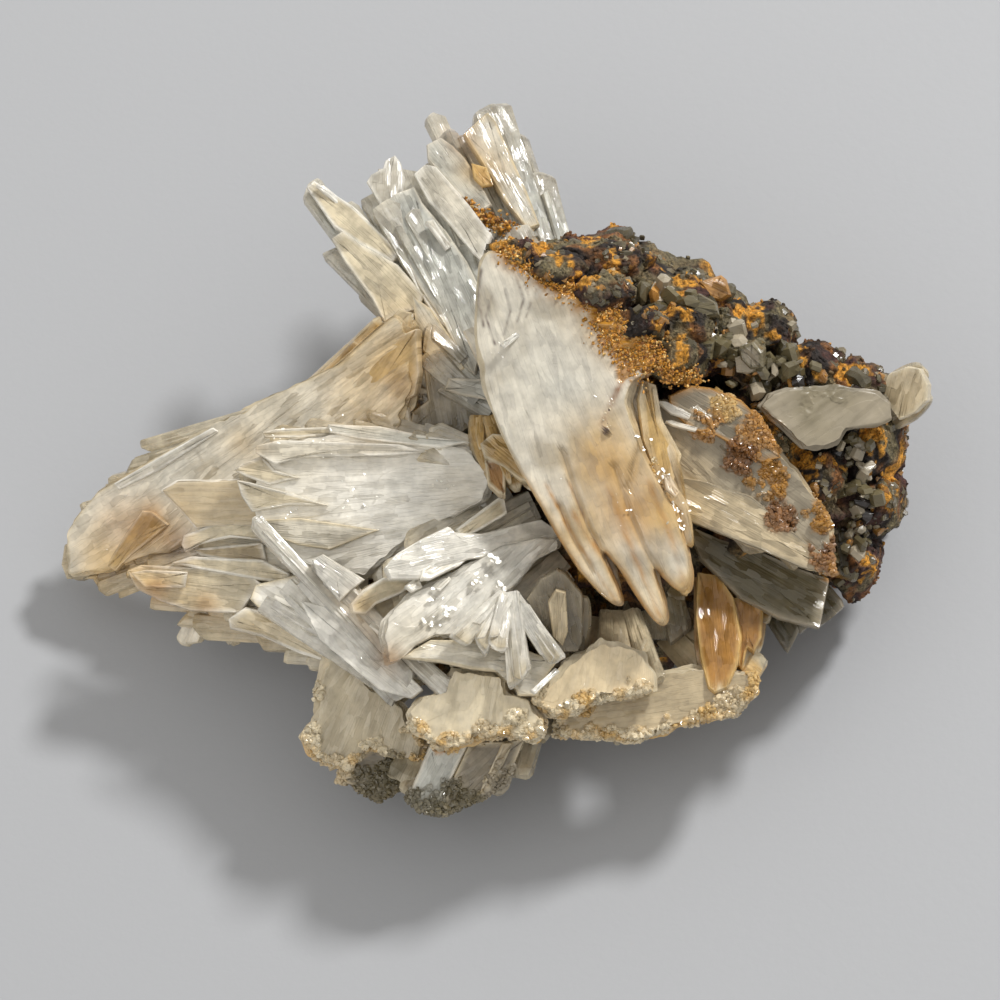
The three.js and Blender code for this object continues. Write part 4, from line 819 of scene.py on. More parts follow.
def sheaf(blades, palette, seed, strands=1, core="milky", tip="cream", rim="cream", ragged=0.05, splay=1.0,
          clear=(0.45, 0.75), lance=0, spare=3, tip_from=0.45, sink=0.0):
    """The laths of a sheaf. Each blade is a frame of its length, its side and its normal, parted across its
    width into strands that end on the blade's pointed outline less a ragged share, with spare thin laths on
    top. A lath is the profile carried along a straight line. A chisel end is cut back by a share of its
    width that grows to one side and away from the middle. A lance end narrows as (1 - s) to a power."""
    rng = np.random.default_rng(seed)
    rows = np.array(blades, float)
    heart, end = rows[:, 0:3] - (0, 0, sink), rows[:, 3:6] - (0, 0, sink)
    root = heart + (end - heart) * ROOT_START
    span = np.linalg.norm(end - root, axis=1)
    axis = unit(end - root)
    normal = unit(np.array([0, 0, 1.0]) - axis * axis[:, 2:3])
    roll = np.radians(rows[:, 8:9])
    normal = normal * np.cos(roll) + np.cross(axis, normal) * np.sin(roll)
    side = np.cross(normal, axis)
    skew = TIP_SKEW * np.sin(7 * heart[:, 0] + 5 * end[:, 1])
    point = np.minimum(TIP_LENGTH * rows[:, 6], 0.4 * span)

    each = strands + spare
    of = np.repeat(np.arange(len(rows)), each)
    order = np.tile(np.arange(each), len(rows))
    main = order < strands
    total = len(of)

    def spread(low, high):
        return rng.uniform(low, high, total)

    across = np.where(main, (order + 0.5) / strands * 2 - 1 + spread(-0.25, 0.25) * (strands > 1) / strands,
                      spread(-0.7, 0.7))
    half = rows[of, 6] / 2
    thick = rows[of, 7]
    wide = np.where(main, half / strands * spread(0.95, 1.0 + 0.7 * (strands > 1)), half * spread(0.15, 0.5))
    deep = thick / 2 * np.where(main, spread(0.65, 0.9), spread(0.25, 0.5))
    lift = np.where(main, spread(-1, 1) * (thick / 2 - deep) * 0.9,
                    thick / 2 * spread(0.8, 1.15) - deep * 0.8)
    lean = skew[of]
    reach = np.where(across < lean, (1 - lean) * (lean - across) / (1 + lean),
                     (1 + lean) * (across - lean) / (1 - lean))
    stop = span[of] - point[of] * np.clip(reach, 0, 1) * (1 if strands > 1 else 0.4)
    stop = stop - span[of] * ragged * spread(0, 1) ** 2
    stop = np.where(main, stop, stop * spread(0.55, 0.98))
    begin = np.where(main, span[of] * spread(0, 0.08), stop * spread(0.1, 0.5))
    room = stop - begin
    lanced = bool(lance)
    taper = np.minimum(point[of] * 1.3, 0.45 * room) if lanced else np.minimum(wide * 0.35, 0.1 * room)
    ends = LANCE_TIP if lanced else CHISEL_TIP
    fall = np.concatenate([np.zeros(len(LATH_BODY)), ends])
    x = np.concatenate([
        begin[:, None] + (room - taper)[:, None] * LATH_BODY,
        (stop - taper)[:, None] + taper[:, None] * ends,
    ], axis=1)
    narrow = (1 - fall) ** lance if lanced else 1 - 0.12 * fall
    narrow = narrow * (1 - 0.3 * (1 - np.minimum(x / x[:, -1:], 1)))
    flat = 1 - (0.5 if lanced else 0.4) * fall
    turn_side = np.tan(np.radians(splay)) * spread(-1, 1)
    turn_lift = np.tan(np.radians(splay * 0.5)) * spread(-1, 1)
    gather = ROOT_SHARE + (1 - ROOT_SHARE) * np.clip(x / (span - point)[of][:, None], 0, 1)
    pivot = x - stop[:, None] * 0.5
    centre_y = (across * half)[:, None] * gather + turn_side[:, None] * pivot * 0.6
    centre_z = lift[:, None] + turn_lift[:, None] * pivot * 0.6

    profile = np.tile(LATH_PROFILE, (total, 1, 1))
    profile[:, 2:10, 1] *= 1 + LATH_RELIEF * rng.uniform(-1.8, 0.4, (total, 8))
    profile[:, :, 0] += rng.uniform(-0.04, 0.04, profile.shape[:2])
    lateral = profile[:, None, :, 0]
    toward_side = np.sign(spread(-1, 1))
    cut = wide[:, None] * (spread(0, CHISEL_TILT)[:, None] * (1 - toward_side[:, None] * profile[:, :, 0])
                           + spread(0.05, CHISEL_PEAK)[:, None] * np.abs(profile[:, :, 0]))
    cut = np.minimum(cut, 0.3 * room[:, None]) * (0 if lanced else 1)
    held = np.concatenate([np.zeros(len(LATH_BODY) - 1), np.ones(len(ends) + 1)])
    forward = x[..., None] - held[None, :, None] * cut[:, None, :]
    y = centre_y[..., None] + (wide[:, None] * narrow)[..., None] * lateral
    z = centre_z[..., None] + (deep[:, None] * flat)[..., None] * profile[:, None, :, 1]
    base = root[of][:, None, None]
    along, beside, above = axis[of][:, None, None], side[of][:, None, None], normal[of][:, None, None]
    rings = base + along * forward[..., None] + beside * y[..., None] + above * z[..., None]
    first, last = rings[:, 0].mean(axis=1), rings[:, -1].mean(axis=1)
    if lanced:
        last = last + axis[of] * (stop - x[:, -1])[:, None]

    share = np.broadcast_to((x / span[of][:, None])[..., None], y.shape)
    toward = ease(tip_from, 1.0, share + spread(-0.12, 0.12)[:, None, None])
    tint = blend(palette[core], palette[tip], toward)
    # The long edges and the end take the rim colour: the rim's own colour where it is a barite or stain colour, and a
    # painted highlight where it is bright.
    edge = np.broadcast_to(ease(0.75, 0.98, np.abs(lateral)), y.shape)
    edge = np.maximum(edge, np.broadcast_to((fall > 0.8)[None, :, None], y.shape))
    tint = blend(tint, palette[rim], edge * (EDGE_TINT + (1 - EDGE_TINT) * toward))
    tint = tint * (1 + spread(-0.07, 0.05))[:, None, None, None]
    tint, thickness = crusted(stained(tint, rings, palette), rings, palette)
    lucid = clear[0] + (clear[1] - clear[0]) * toward + spread(-0.12, 0.12)[:, None, None]
    lucid = np.where(fall[None, :, None] > 0.8, np.minimum(lucid, 0.5), lucid) * (1 - thickness)
    shift = spread(0, 90)[:, None, None]
    growth = np.stack([forward + shift, y + shift, np.ones_like(y)], axis=-1)
    data = np.concatenate([tint, lucid[..., None], growth], axis=-1)
    return shells(place(rings), place(first), place(last), data, np.zeros(len(fall), bool))


def walked(corners, around):
    """Equal steps round a closed outline, taken anticlockwise."""
    loop = np.array(corners, float)
    turned = loop[:, 0] * np.roll(loop[:, 1], -1) - np.roll(loop[:, 0], -1) * loop[:, 1]
    loop = loop if turned.sum() > 0 else loop[::-1]
    loop = np.vstack([loop, loop[:1]])
    walk = np.concatenate([[0], np.cumsum(np.linalg.norm(np.diff(loop, axis=0), axis=1))])
    steps = np.linspace(0, walk[-1], around, endpoint=False)
    return np.stack([np.interp(steps, walk, loop[:, 0]), np.interp(steps, walk, loop[:, 1])], axis=-1)


def tablets(plates, palette, seed, around=120, rim_wide=0.14, bevel=0.1, relief=0.0, grit=0):
    """Thin flat crystals with straight edges. Each outline is drawn in from its edge by a bevel and a rim and
    then shrunk to its middle. Its flat top carries faint ridges along its longer way, and its wall is
    grooved half-way up, as a pile of two sheets is."""
    rng = np.random.default_rng(seed)
    count = len(plates)
    outline = np.stack([walked(plate[7], around) for plate in plates])
    middle = outline.mean(axis=1, keepdims=True)
    tangent = unit(np.roll(outline, -1, axis=1) - np.roll(outline, 1, axis=1))
    outward = np.stack([tangent[..., 1], -tangent[..., 0]], axis=-1)
    numbers = np.array([plate[2:7] for plate in plates], float)
    lucid, depth, slope, thick = numbers[:, 0], numbers[:, 1], numbers[:, 2:4], numbers[:, 4]
    # The rings from the underside to the top: how far each is drawn in, its share of the way out from the
    # middle, and its level in half thicknesses.
    stages = np.array([
        (0.3, 0.15, -1), (0.3, 1, -1), (0.05, 1, -0.75), (0.03, 1, -0.05), (0.12, 1, 0), (0.0, 1, 0.08),
        (0.0, 1, 0.7),
        (bevel, 1, 1), (bevel + rim_wide, 1, 1), (bevel + rim_wide, 0.86, 1), (bevel + rim_wide, 0.68, 1),
        (bevel + rim_wide, 0.5, 1), (bevel + rim_wide, 0.32, 1), (bevel + rim_wide, 0.12, 1),
    ])
    inset, share, level = stages.T
    # No point is drawn in further than 0.4 of the way to the facing edge, easing off along the outline.
    facing = (outward[:, :, None] * outward[:, None]).sum(axis=-1) < -0.3
    gap = np.linalg.norm(outline[:, :, None] - outline[:, None], axis=-1)
    room = 0.4 * np.where(facing, gap, 9.0).min(axis=2)
    room = (room[:, None] + 0.5 * gap).min(axis=2)
    drawn = outline[:, None] - outward[:, None] * np.minimum(inset[:, None], room[:, None])[..., None]
    flat = middle[:, None] + (drawn - middle[:, None]) * share[:, None, None]
    spread = flat[:, -6:].reshape(count, -1, 2) - middle
    turn = 0.5 * np.arctan2(2 * (spread[..., 0] * spread[..., 1]).sum(axis=1),
                            (spread[..., 0] ** 2 - spread[..., 1] ** 2).sum(axis=1))
    arm = flat - middle[:, None]
    along = arm[..., 0] * np.cos(turn)[:, None, None] + arm[..., 1] * np.sin(turn)[:, None, None]
    beside = arm[..., 1] * np.cos(turn)[:, None, None] - arm[..., 0] * np.sin(turn)[:, None, None]
    shift = rng.uniform(0, 90, count)[:, None, None]
    growth = np.stack([along + shift, beside + shift, np.ones_like(along)], axis=-1)
    top = (level >= 1) & (share < 1)
    ridges = top[:, None] * relief * (noise(growth * (0.1, 1, 1), 1.2, 1) + 0.6 * noise(growth * (0.1, 1, 1), 0.45, 2))
    rise = (arm * slope[:, None, None]).sum(axis=-1)
    w = depth[:, None, None] + rise + thick[:, None, None] / 2 * level[:, None] + ridges
    rings = np.concatenate([flat, w[..., None]], axis=-1)
    core = np.array([palette[plate[0]] for plate in plates])[:, None, None]
    rim = np.array([palette[plate[1]] for plate in plates])[:, None, None]
    # The walls and the rim band take the rim colour: the rim's own colour where it is a barite or stain colour, and a
    # painted highlight where it is bright.
    edge = np.where(level < 1, 0.8, np.where(share < 1, 0.0, np.where(inset > bevel, 0.55, 1.0)))
    tint = blend(np.broadcast_to(core, rings.shape), np.broadcast_to(rim, rings.shape), edge[:, None])
    tint = tint * (1 + 0.05 * noise(growth * (0.3, 1, 1), 2.2, 4))[..., None]
    tint, thickness = crusted(stained(tint, rings, palette), rings, palette)
    clear = lucid[:, None, None] * (1 - 0.4 * edge[:, None]) * (1 - thickness)
    data = np.concatenate([tint, clear[..., None], growth], axis=-1)
    lean = -slope / np.sqrt(1 + (slope**2).sum(axis=1, keepdims=True))
    rings[..., :2] += lean[:, None, None] * (thick[:, None, None] / 2 * level[:, None])[..., None]
    first, last = rings[:, 0].mean(axis=1), rings[:, -1].mean(axis=1)
    body = shells(place(rings), place(first), place(last), data, top)
    cover = thickness * (level > -1)[:, None]
    return joined([body, druse(rings, cover, tint, grit, seed)]) if grit else body


def slab(plan, palette, seed, core="milky", rim="cream", layers=4, rough=0.25, relief=0.08, around=600,
         clear=(0.3, 0.5), step=0.0, rim_wide=0.5, fineness=0.4, grit=0, skirt=0.0):
    """A broad plate. The outline is walked in equal steps and drawn in from its corners to its heart, so a
    point is the heart plus a share of the way to the outline. The rings climb from the middle of the
    underside out to the rim, up the rim as a pile of layers that stick out by noise, and back in over
    the top, which falls off by the border and carries ridges that fan out from the focus, low terraces,
    grooves as bells across a line, and crumbling crusts."""
    corners = np.array(plan["corners"], float)
    depth, slope, thick = plan["depth"], np.array(plan["slope"]), plan["thick"]
    middle = np.array(plan.get("heart", corners.mean(axis=0)), float)
    outline = walked(corners, around)
    pad = max(around // 300, 1)
    for _ in range(2):
        wrapped = np.concatenate([outline[-pad:], outline, outline[:pad]])
        summed = np.cumsum(np.vstack([np.zeros(2), wrapped]), axis=0)
        outline = (summed[2 * pad + 1 :] - summed[: -2 * pad - 1]) / (2 * pad + 1)
    outward = outline - middle
    reach = np.linalg.norm(outward, axis=1)
    outward = outward / reach[:, None]

    shares, heights, pushes = [0.03, 0.3, 0.6, 0.85], [-thick / 2] * 4, [np.zeros(around)] * 4
    wall = np.concatenate([outline, np.zeros((around, 1))], axis=1)
    for layer in range(layers):
        low = -thick / 2 + thick * layer / layers
        high = low + thick / layers * 0.9
        jut = rough * (noise(wall, 1.9, seed + layer) + 0.5 * noise(wall, 0.7, seed + 9 + layer))
        jut = jut - EDGE_BEVEL * thick * (layer + 0.5) / layers - 0.1
        for height, extra in ((low, -0.1 * rough), (high, 0)):
            shares.append(1.0)
            heights.append(height)
            pushes.append(jut + extra)
    # The rings of the top lie closest together by the rim.
    face = np.concatenate([[0.995, 0.985, 0.97, 0.95], np.linspace(0.93, 0.02, 42)])
    shares += [*face]
    heights += [thick / 2] * len(face)
    pushes += [jut * share for share in face]
    shares, heights, pushes = np.array(shares), np.array(heights), np.array(pushes)

    flat = middle + outward * (reach * shares[:, None] + pushes)[..., None]
    ray = flat - np.array(plan["focus"])
    far = np.hypot(ray[..., 0], ray[..., 1])
    fan = np.unwrap(np.arctan2(ray[..., 1], ray[..., 0]), axis=1) * far.mean()
    lines = np.stack([fan, far * 0.07, np.full_like(far, seed)], axis=-1)
    top = np.zeros((*shares.shape, 1))
    top[-len(face) :] = 1
    border = distance_to(flat, np.vstack([corners, corners[:1]]))
    ridges = relief * (noise(lines, 1.1, 1) + 0.5 * noise(lines, 0.4, 2))
    terraces = step * np.floor(3 * noise(lines * (1, 4, 1), 3.6, 3)) / 3
    fall = 0.3 * (1 - ease(0, 0.55, border))
    cut = np.zeros_like(far)
    for path in plan.get("grooves", []):
        cut = np.maximum(cut, np.exp(-((distance_to(flat, path) / 0.3) ** 2)))
    swell = np.minimum(border, 1) * (ridges + terraces) - fall - 0.3 * cut
    w = depth + (flat - middle) @ slope + heights[:, None] + top * swell
    rings = np.concatenate([flat, w[..., None]], axis=-1)
    # The border takes the rim colour: the rim's own colour where it is a barite or stain colour, and a painted
    # highlight where it is bright.
    edge = np.maximum(ease(0.985, 1.0, shares)[:, None], top * np.exp(-((border / rim_wide) ** 2)))
    tint = blend(np.broadcast_to(palette[core], (*w.shape, 3)), palette[rim], edge)
    tint = blend(tint, palette["honey"], 0.4 * top * cut)
    cloud = ease(-0.1, 0.7, noise(rings, 3.2, 31) + 0.5 * noise(rings, 1.1, 32))
    tint = blend(tint, palette["smoky"], plan.get("cloud", 0.12) * cloud * (1 - edge))
    tint = tint * (1 + 0.04 * noise(rings, 0.5, 33) + 0.03 * noise(lines, 1.6, 4))[..., None]
    tint = stained(tint, rings, palette)
    if "gilded" in plan:
        low = ease(*plan["gilded"], -flat[..., 1])
        tint = blend(tint, palette["honey"], 0.7 * low * np.exp(-((border / 0.8) ** 2)))
        tint = blend(tint, palette["amber"], 0.6 * low * np.exp(-((border / 0.4) ** 2)))
    lucid = clear[0] + (clear[1] - clear[0]) * edge + 0.12 * noise(rings, 3.5, 6)
    for share, name in patches(rings, WINDOWS, np.minimum(border / 0.4, 1) * (1 + 0.5 * noise(lines, 0.6, 41))):
        tint = blend(tint, palette[name], share)
        lucid = np.maximum(lucid, share)
    tint, thickness = crusted(tint, rings, palette)
    # A skirt of sugary crust follows the lower border.
    hem = 1 - ease(0.5, 1.2, border + 0.7 * noise(rings, 1.3, 44) + 0.4 * noise(rings, 0.5, 45))
    hem = skirt * hem * ease(-0.5, 1.5, middle[1] - flat[..., 1])
    sugar = blend(palette["cream"] + 0 * tint, palette["honey"], ease(-0.4, 0.6, noise(rings, 1.0, 46)))
    tint = blend(tint, sugar, 0.9 * hem)
    thickness = np.maximum(thickness, hem)
    above = (heights > -thick / 4)[:, None]
    rings[..., 2] += above * thickness * CRUST_RISE * (0.4 + noise(rings, 0.8, 15) + 0.7 * noise(rings, 0.35, 16))
    lean = np.array([-slope[0], -slope[1]]) / math.hypot(1, *slope)
    rings[..., :2] += lean * heights[:, None, None]
    growth = np.stack([far + seed, fan + seed, np.full_like(far, fineness)], axis=-1)
    data = np.concatenate([tint, (lucid * (1 - thickness))[..., None], growth], axis=-1)
    first, last = rings[0].mean(axis=0), rings[-1].mean(axis=0)
    smooth = np.zeros(len(shares), bool)
    smooth[4 + 2 * layers :] = True
    body = shells(place(rings)[None], place(first)[None], place(last)[None], data[None], smooth)
    return joined([body, druse(rings, thickness * above, tint, grit, seed)]) if grit else body


def rock_surface(lumps, direction):
    """Points of rough lumps along given directions, in the part's own millimetres. Each lump is cut by flat
    faces: the nearest of a set of planes, which lie 0.8 to 1.1 radii out by a wave of the lump's centre. Three
    sizes of noise roughen it, the finest folded to give pits, and it is cut off flat at the floor."""
    rows = np.array(lumps, float)
    grid = direction.ndim == 3
    middle = place(rows[:, :3]) * 1000
    cuts = unit(np.random.default_rng(4).normal(size=(ROCK_FACES, 3)))
    away = 0.95 + 0.15 * np.sin(np.arange(ROCK_FACES) * 7.3 + (middle @ (1.7, 2.3, 3.1))[:, None])
    away = away[:, None] if grid else away
    reach = np.minimum((away / np.maximum(direction @ cuts.T, 0.2)).min(axis=-1), 1.2)
    arm = direction * (rows[:, None, 3:6] if grid else rows[:, 3:6]) * reach[..., None]
    centre = middle[:, None] if grid else middle
    spot = centre + arm
    swell = 0.1 * noise(spot, 4.5, 1) - 0.14 * np.abs(noise(spot, 1.6, 2)) - 0.12 * np.abs(noise(spot, 0.8, 3)) + 0.04
    spot = centre + arm * (1 + swell)[..., None]
    spot[..., 2] = np.maximum(spot[..., 2], 0)
    return spot


def rock_tint(points, palette):
    """Colours of the rock by place: goethite, rust and russet by broad noises, olive where it is crystalline
    and ochre powder where a finer noise is high."""
    tint = np.broadcast_to(palette["goethite"], points.shape)
    tint = blend(tint, palette["russet"], ease(-0.1, 0.5, noise(points, 2.6, 11)))
    tint = blend(tint, palette["rust"], 0.6 * ease(0.05, 0.5, noise(points, 1.5, 12)))
    tint = blend(tint, palette["olive"], 0.8 * ease(-0.1, 0.4, noise(points, 1.9, 15)))
    return blend(tint, palette["ochre"], ease(0.3, 0.6, noise(points, 2.1, 13) + 0.6 * noise(points, 0.6, 14)))


def lump_shells(lumps, palette, rows=64, around=110):
    """Rough rock lumps as balls of latitude rings on the rock surface."""
    tilt = np.linspace(-math.pi / 2, math.pi / 2, rows + 2)[1:-1]
    turn = np.linspace(0, 2 * math.pi, around, endpoint=False)
    ball = np.stack([np.cos(tilt)[:, None] * np.cos(turn), np.cos(tilt)[:, None] * np.sin(turn),
                     np.broadcast_to(np.sin(tilt)[:, None], (rows, around))], axis=-1)
    grid = np.concatenate([ball.reshape(-1, 3), [(0, 0, -1.0), (0, 0, 1.0)]])
    spots = rock_surface(lumps, np.broadcast_to(grid, (len(lumps), *grid.shape)))
    rings = spots[:, :-2].reshape(len(lumps), rows, around, 3)
    tint = rock_tint(rings, palette)
    zero = np.zeros((*rings.shape[:3], 1))
    data = np.concatenate([tint, zero, rings], axis=-1)
    return shells(rings / 1000, spots[:, -2] / 1000, spots[:, -1] / 1000, data, np.ones(rows, bool))


def grains(centres, outward, sizes, tints, lucid, seed, upright=0.7, flat=1.0):
    """Small blocky crystals: six points round two rings, closed by a low point at either end. The long axis
    is the outward direction plus a random lean, and flat shortens it to make flakes."""
    rng = np.random.default_rng(seed)
    count = len(centres)
    axis = unit(outward + upright * rng.normal(size=(count, 3)))
    side = unit(np.cross(axis, rng.normal(size=(count, 3))))
    front = np.cross(axis, side)
    turn = np.radians([8, 52, 128, 188, 232, 308])
    girth = np.array([0.92, 1.0])
    height = np.array([-0.72, 0.7])
    stretch = rng.uniform((0.55, 0.35, 0.8), (0.95, 0.7, 1.3), (count, 3)) * sizes[:, None] * (1, 1, flat)
    wobble = rng.uniform(0.85, 1.15, (count, 1, 6))
    x = np.cos(turn) * girth[:, None] * wobble * stretch[:, 0, None, None]
    y = np.sin(turn) * girth[:, None] * wobble * stretch[:, 1, None, None]
    z = height[:, None] * stretch[:, 2, None, None] * np.ones_like(x)
    rings = (centres[:, None, None] + side[:, None, None] * x[..., None] + front[:, None, None] * y[..., None]
             + axis[:, None, None] * z[..., None])
    first = centres - axis * stretch[:, 2:]
    last = centres + axis * stretch[:, 2:] + side * stretch[:, :1] * rng.uniform(-0.3, 0.3, (count, 1))
    tint = np.broadcast_to(tints[:, None, None], rings.shape) * rng.uniform(0.75, 1.2, (count, 1, 1, 1))
    clearness = np.broadcast_to(lucid[:, None, None, None], (*rings.shape[:3], 1))
    data = np.concatenate([tint, clearness, rings[..., :2], 0 * clearness + 0.3], axis=-1)
    return shells(rings / 1000, first / 1000, last / 1000, data, np.zeros(2, bool))


def glints(spots, count, palette, seed, size=0.22):
    """Flakes that lean to flash in the key light, strewn round given places: u, v, w and radius of each. They are
    tinted bright white and opaque, so they also paint a highlight where they don't flash.
    """
    rng = np.random.default_rng(seed)
    rows = np.array(spots, float)
    chosen = rng.integers(0, len(rows), count)
    centre = rows[chosen, :3] + rng.normal(size=(count, 3)) * rows[chosen, 3:] * (0.5, 0.5, 0.1)
    flash = unit(-FLASH[0] * RIGHTWARD - FLASH[1] * UPWARD + OUTWARD)
    # Painted highlight: the flakes take the bright colour.
    tints = np.broadcast_to(palette["bright"], (count, 3))
    sizes = size * rng.uniform(0.5, 1.4, count)
    outward = np.broadcast_to(flash, (count, 3))
    return grains(place(centre) * 1000, outward, sizes, tints, np.zeros(count), seed, 0.05, 0.12)


def druse(surface, cover, tint, count, seed):
    """Small crystals that stand on the crusted parts of a surface of rings, in the colour of the crust. A
    cell of the surface is drawn as often as it is large."""
    rng = np.random.default_rng(seed)
    across, along = np.gradient(surface, axis=(-3, -2))
    normal = np.cross(along, across)
    weight = np.where(cover > 0.5, np.linalg.norm(normal, axis=-1), 0).ravel()
    chosen = rng.choice(weight.size, count, p=weight / weight.sum())
    spot, across, along, normal, tint = (part.reshape(-1, 3)[chosen] for part in (surface, across, along, normal, tint))
    spot = spot + across * rng.uniform(-0.5, 0.5, (count, 1)) + along * rng.uniform(-0.5, 0.5, (count, 1))
    outward = unit(normal) @ np.stack([RIGHTWARD, UPWARD, OUTWARD])
    sizes = 1200 * bpy.context.scene.barite_shape.druse * rng.uniform(0.45, 1.3, count)
    return grains(place(spot) * 1000, outward, sizes, tint, np.full(count, 0.25), seed, 0.7, 0.7)


def trail(path, count, band, palette, mix, seed, size, upright=0.7):
    """Small crystals strewn along a line: each centre is a random point of the line moved by a bell-shaped
    distance, and its colour is drawn from the mix of names and shares."""
    rng = np.random.default_rng(seed)
    nodes = np.array(path, float)
    walk = np.concatenate([[0], np.cumsum(np.linalg.norm(np.diff(nodes, axis=0), axis=1))])
    spot = rng.uniform(0, walk[-1], count)
    centre = np.stack([np.interp(spot, walk, nodes[:, part]) for part in range(3)], axis=-1)
    centre = centre + rng.normal(size=(count, 3)) * np.array(band)
    names = [name for name, _ in mix]
    weights = np.array([weight for _, weight in mix], float)
    chosen = rng.choice(len(names), count, p=weights / weights.sum())
    tints = np.array([palette[name] for name in names])[chosen]
    lucid = np.where(np.isin(np.array(names)[chosen], ["ochre", "russet", "goethite"]), 0.0, 0.2)
    sizes = size * rng.uniform(0.45, 1.25, count)
    outward = np.broadcast_to(OUTWARD, (count, 3))
    return grains(place(centre) * 1000, outward, sizes, tints, lucid, seed, upright, 0.7)


def rock_coat(size, palette):
    """The small crystals and the crumbs that coat the rock, at random spots that no lump covers and that
    are clear of the floor. A crystal grows where a random number plus half a noise is high, and a crumb
    everywhere else. Both are sunk by a share of their size."""
    rng = np.random.default_rng(8)
    rows = np.array(ROCK_LUMPS, float)
    share = (rows[:, 3] * rows[:, 4]) ** 0.8
    share[:COVERED_LUMPS] *= 0.2
    chosen = rng.choice(len(rows), COAT_SPOTS, p=share / share.sum())
    direction = unit(rng.normal(size=(COAT_SPOTS, 3)))
    spots = rock_surface(rows[chosen], direction)
    outward = unit(direction / rows[chosen, 3:6])
    gap = (spots[:, None] - place(rows[:, :3]) * 1000) / (rows[:, 3:6] * 0.9)
    open_air = ~(np.linalg.norm(gap, axis=-1) < 1).any(axis=1) & (spots[:, 2] > 1.2)
    spots, outward = spots[open_air], outward[open_air]
    count = len(spots)
    tint = rock_tint(spots, palette)
    crystal = rng.uniform(0, 1, count) + 0.5 * noise(spots, 3.4, 21) > 0.72
    smoke = blend(palette["olive"], palette["beige"], rng.uniform(0, 0.9, count) ** 3)
    tint = np.where(crystal[:, None], smoke, tint)
    golden = crystal & (rng.uniform(0, 1, count) < 0.2)
    tint = np.where(golden[:, None], palette["amber"], tint)
    lucid = np.where(crystal, 0.6, 0.0)
    sizes = size * np.where(crystal, rng.uniform(0.4, 1.9, count), rng.uniform(0.3, 0.75, count))
    spots = spots - outward * sizes[:, None] * 0.3
    return [
        grains(spots[kept], outward[kept], sizes[kept], tint[kept], lucid[kept], *shape)
        for kept, shape in (
            (np.flatnonzero(crystal)[:COAT_CRYSTALS], (5, 1.2, 0.6)),
            (np.flatnonzero(~crystal)[:COAT_CRUMBS], (6,)),
        )
    ]


def add(tree, kind, inputs, **settings):
    """Adds a shader node of a kind, sets its settings, and fills its inputs by name or number. A socket is
    linked to its input, and a node stands for its first output."""
    made = tree.nodes.new("ShaderNode" + kind)
    for key, value in settings.items():
        setattr(made, key, value)
    for key, value in inputs.items():
        value = value.outputs[0] if isinstance(value, bpy.types.Node) else value
        if isinstance(value, bpy.types.NodeSocket):
            tree.links.new(value, made.inputs[key])
        else:
            made.inputs[key].default_value = value
    return made


def fresh_material(name):
    """An empty node material with an output."""
    material = bpy.data.materials.get(name) or bpy.data.materials.new(name)
    material.use_nodes = True
    material.node_tree.nodes.clear()
    return material, material.node_tree, material.node_tree.nodes.new("ShaderNodeOutputMaterial")


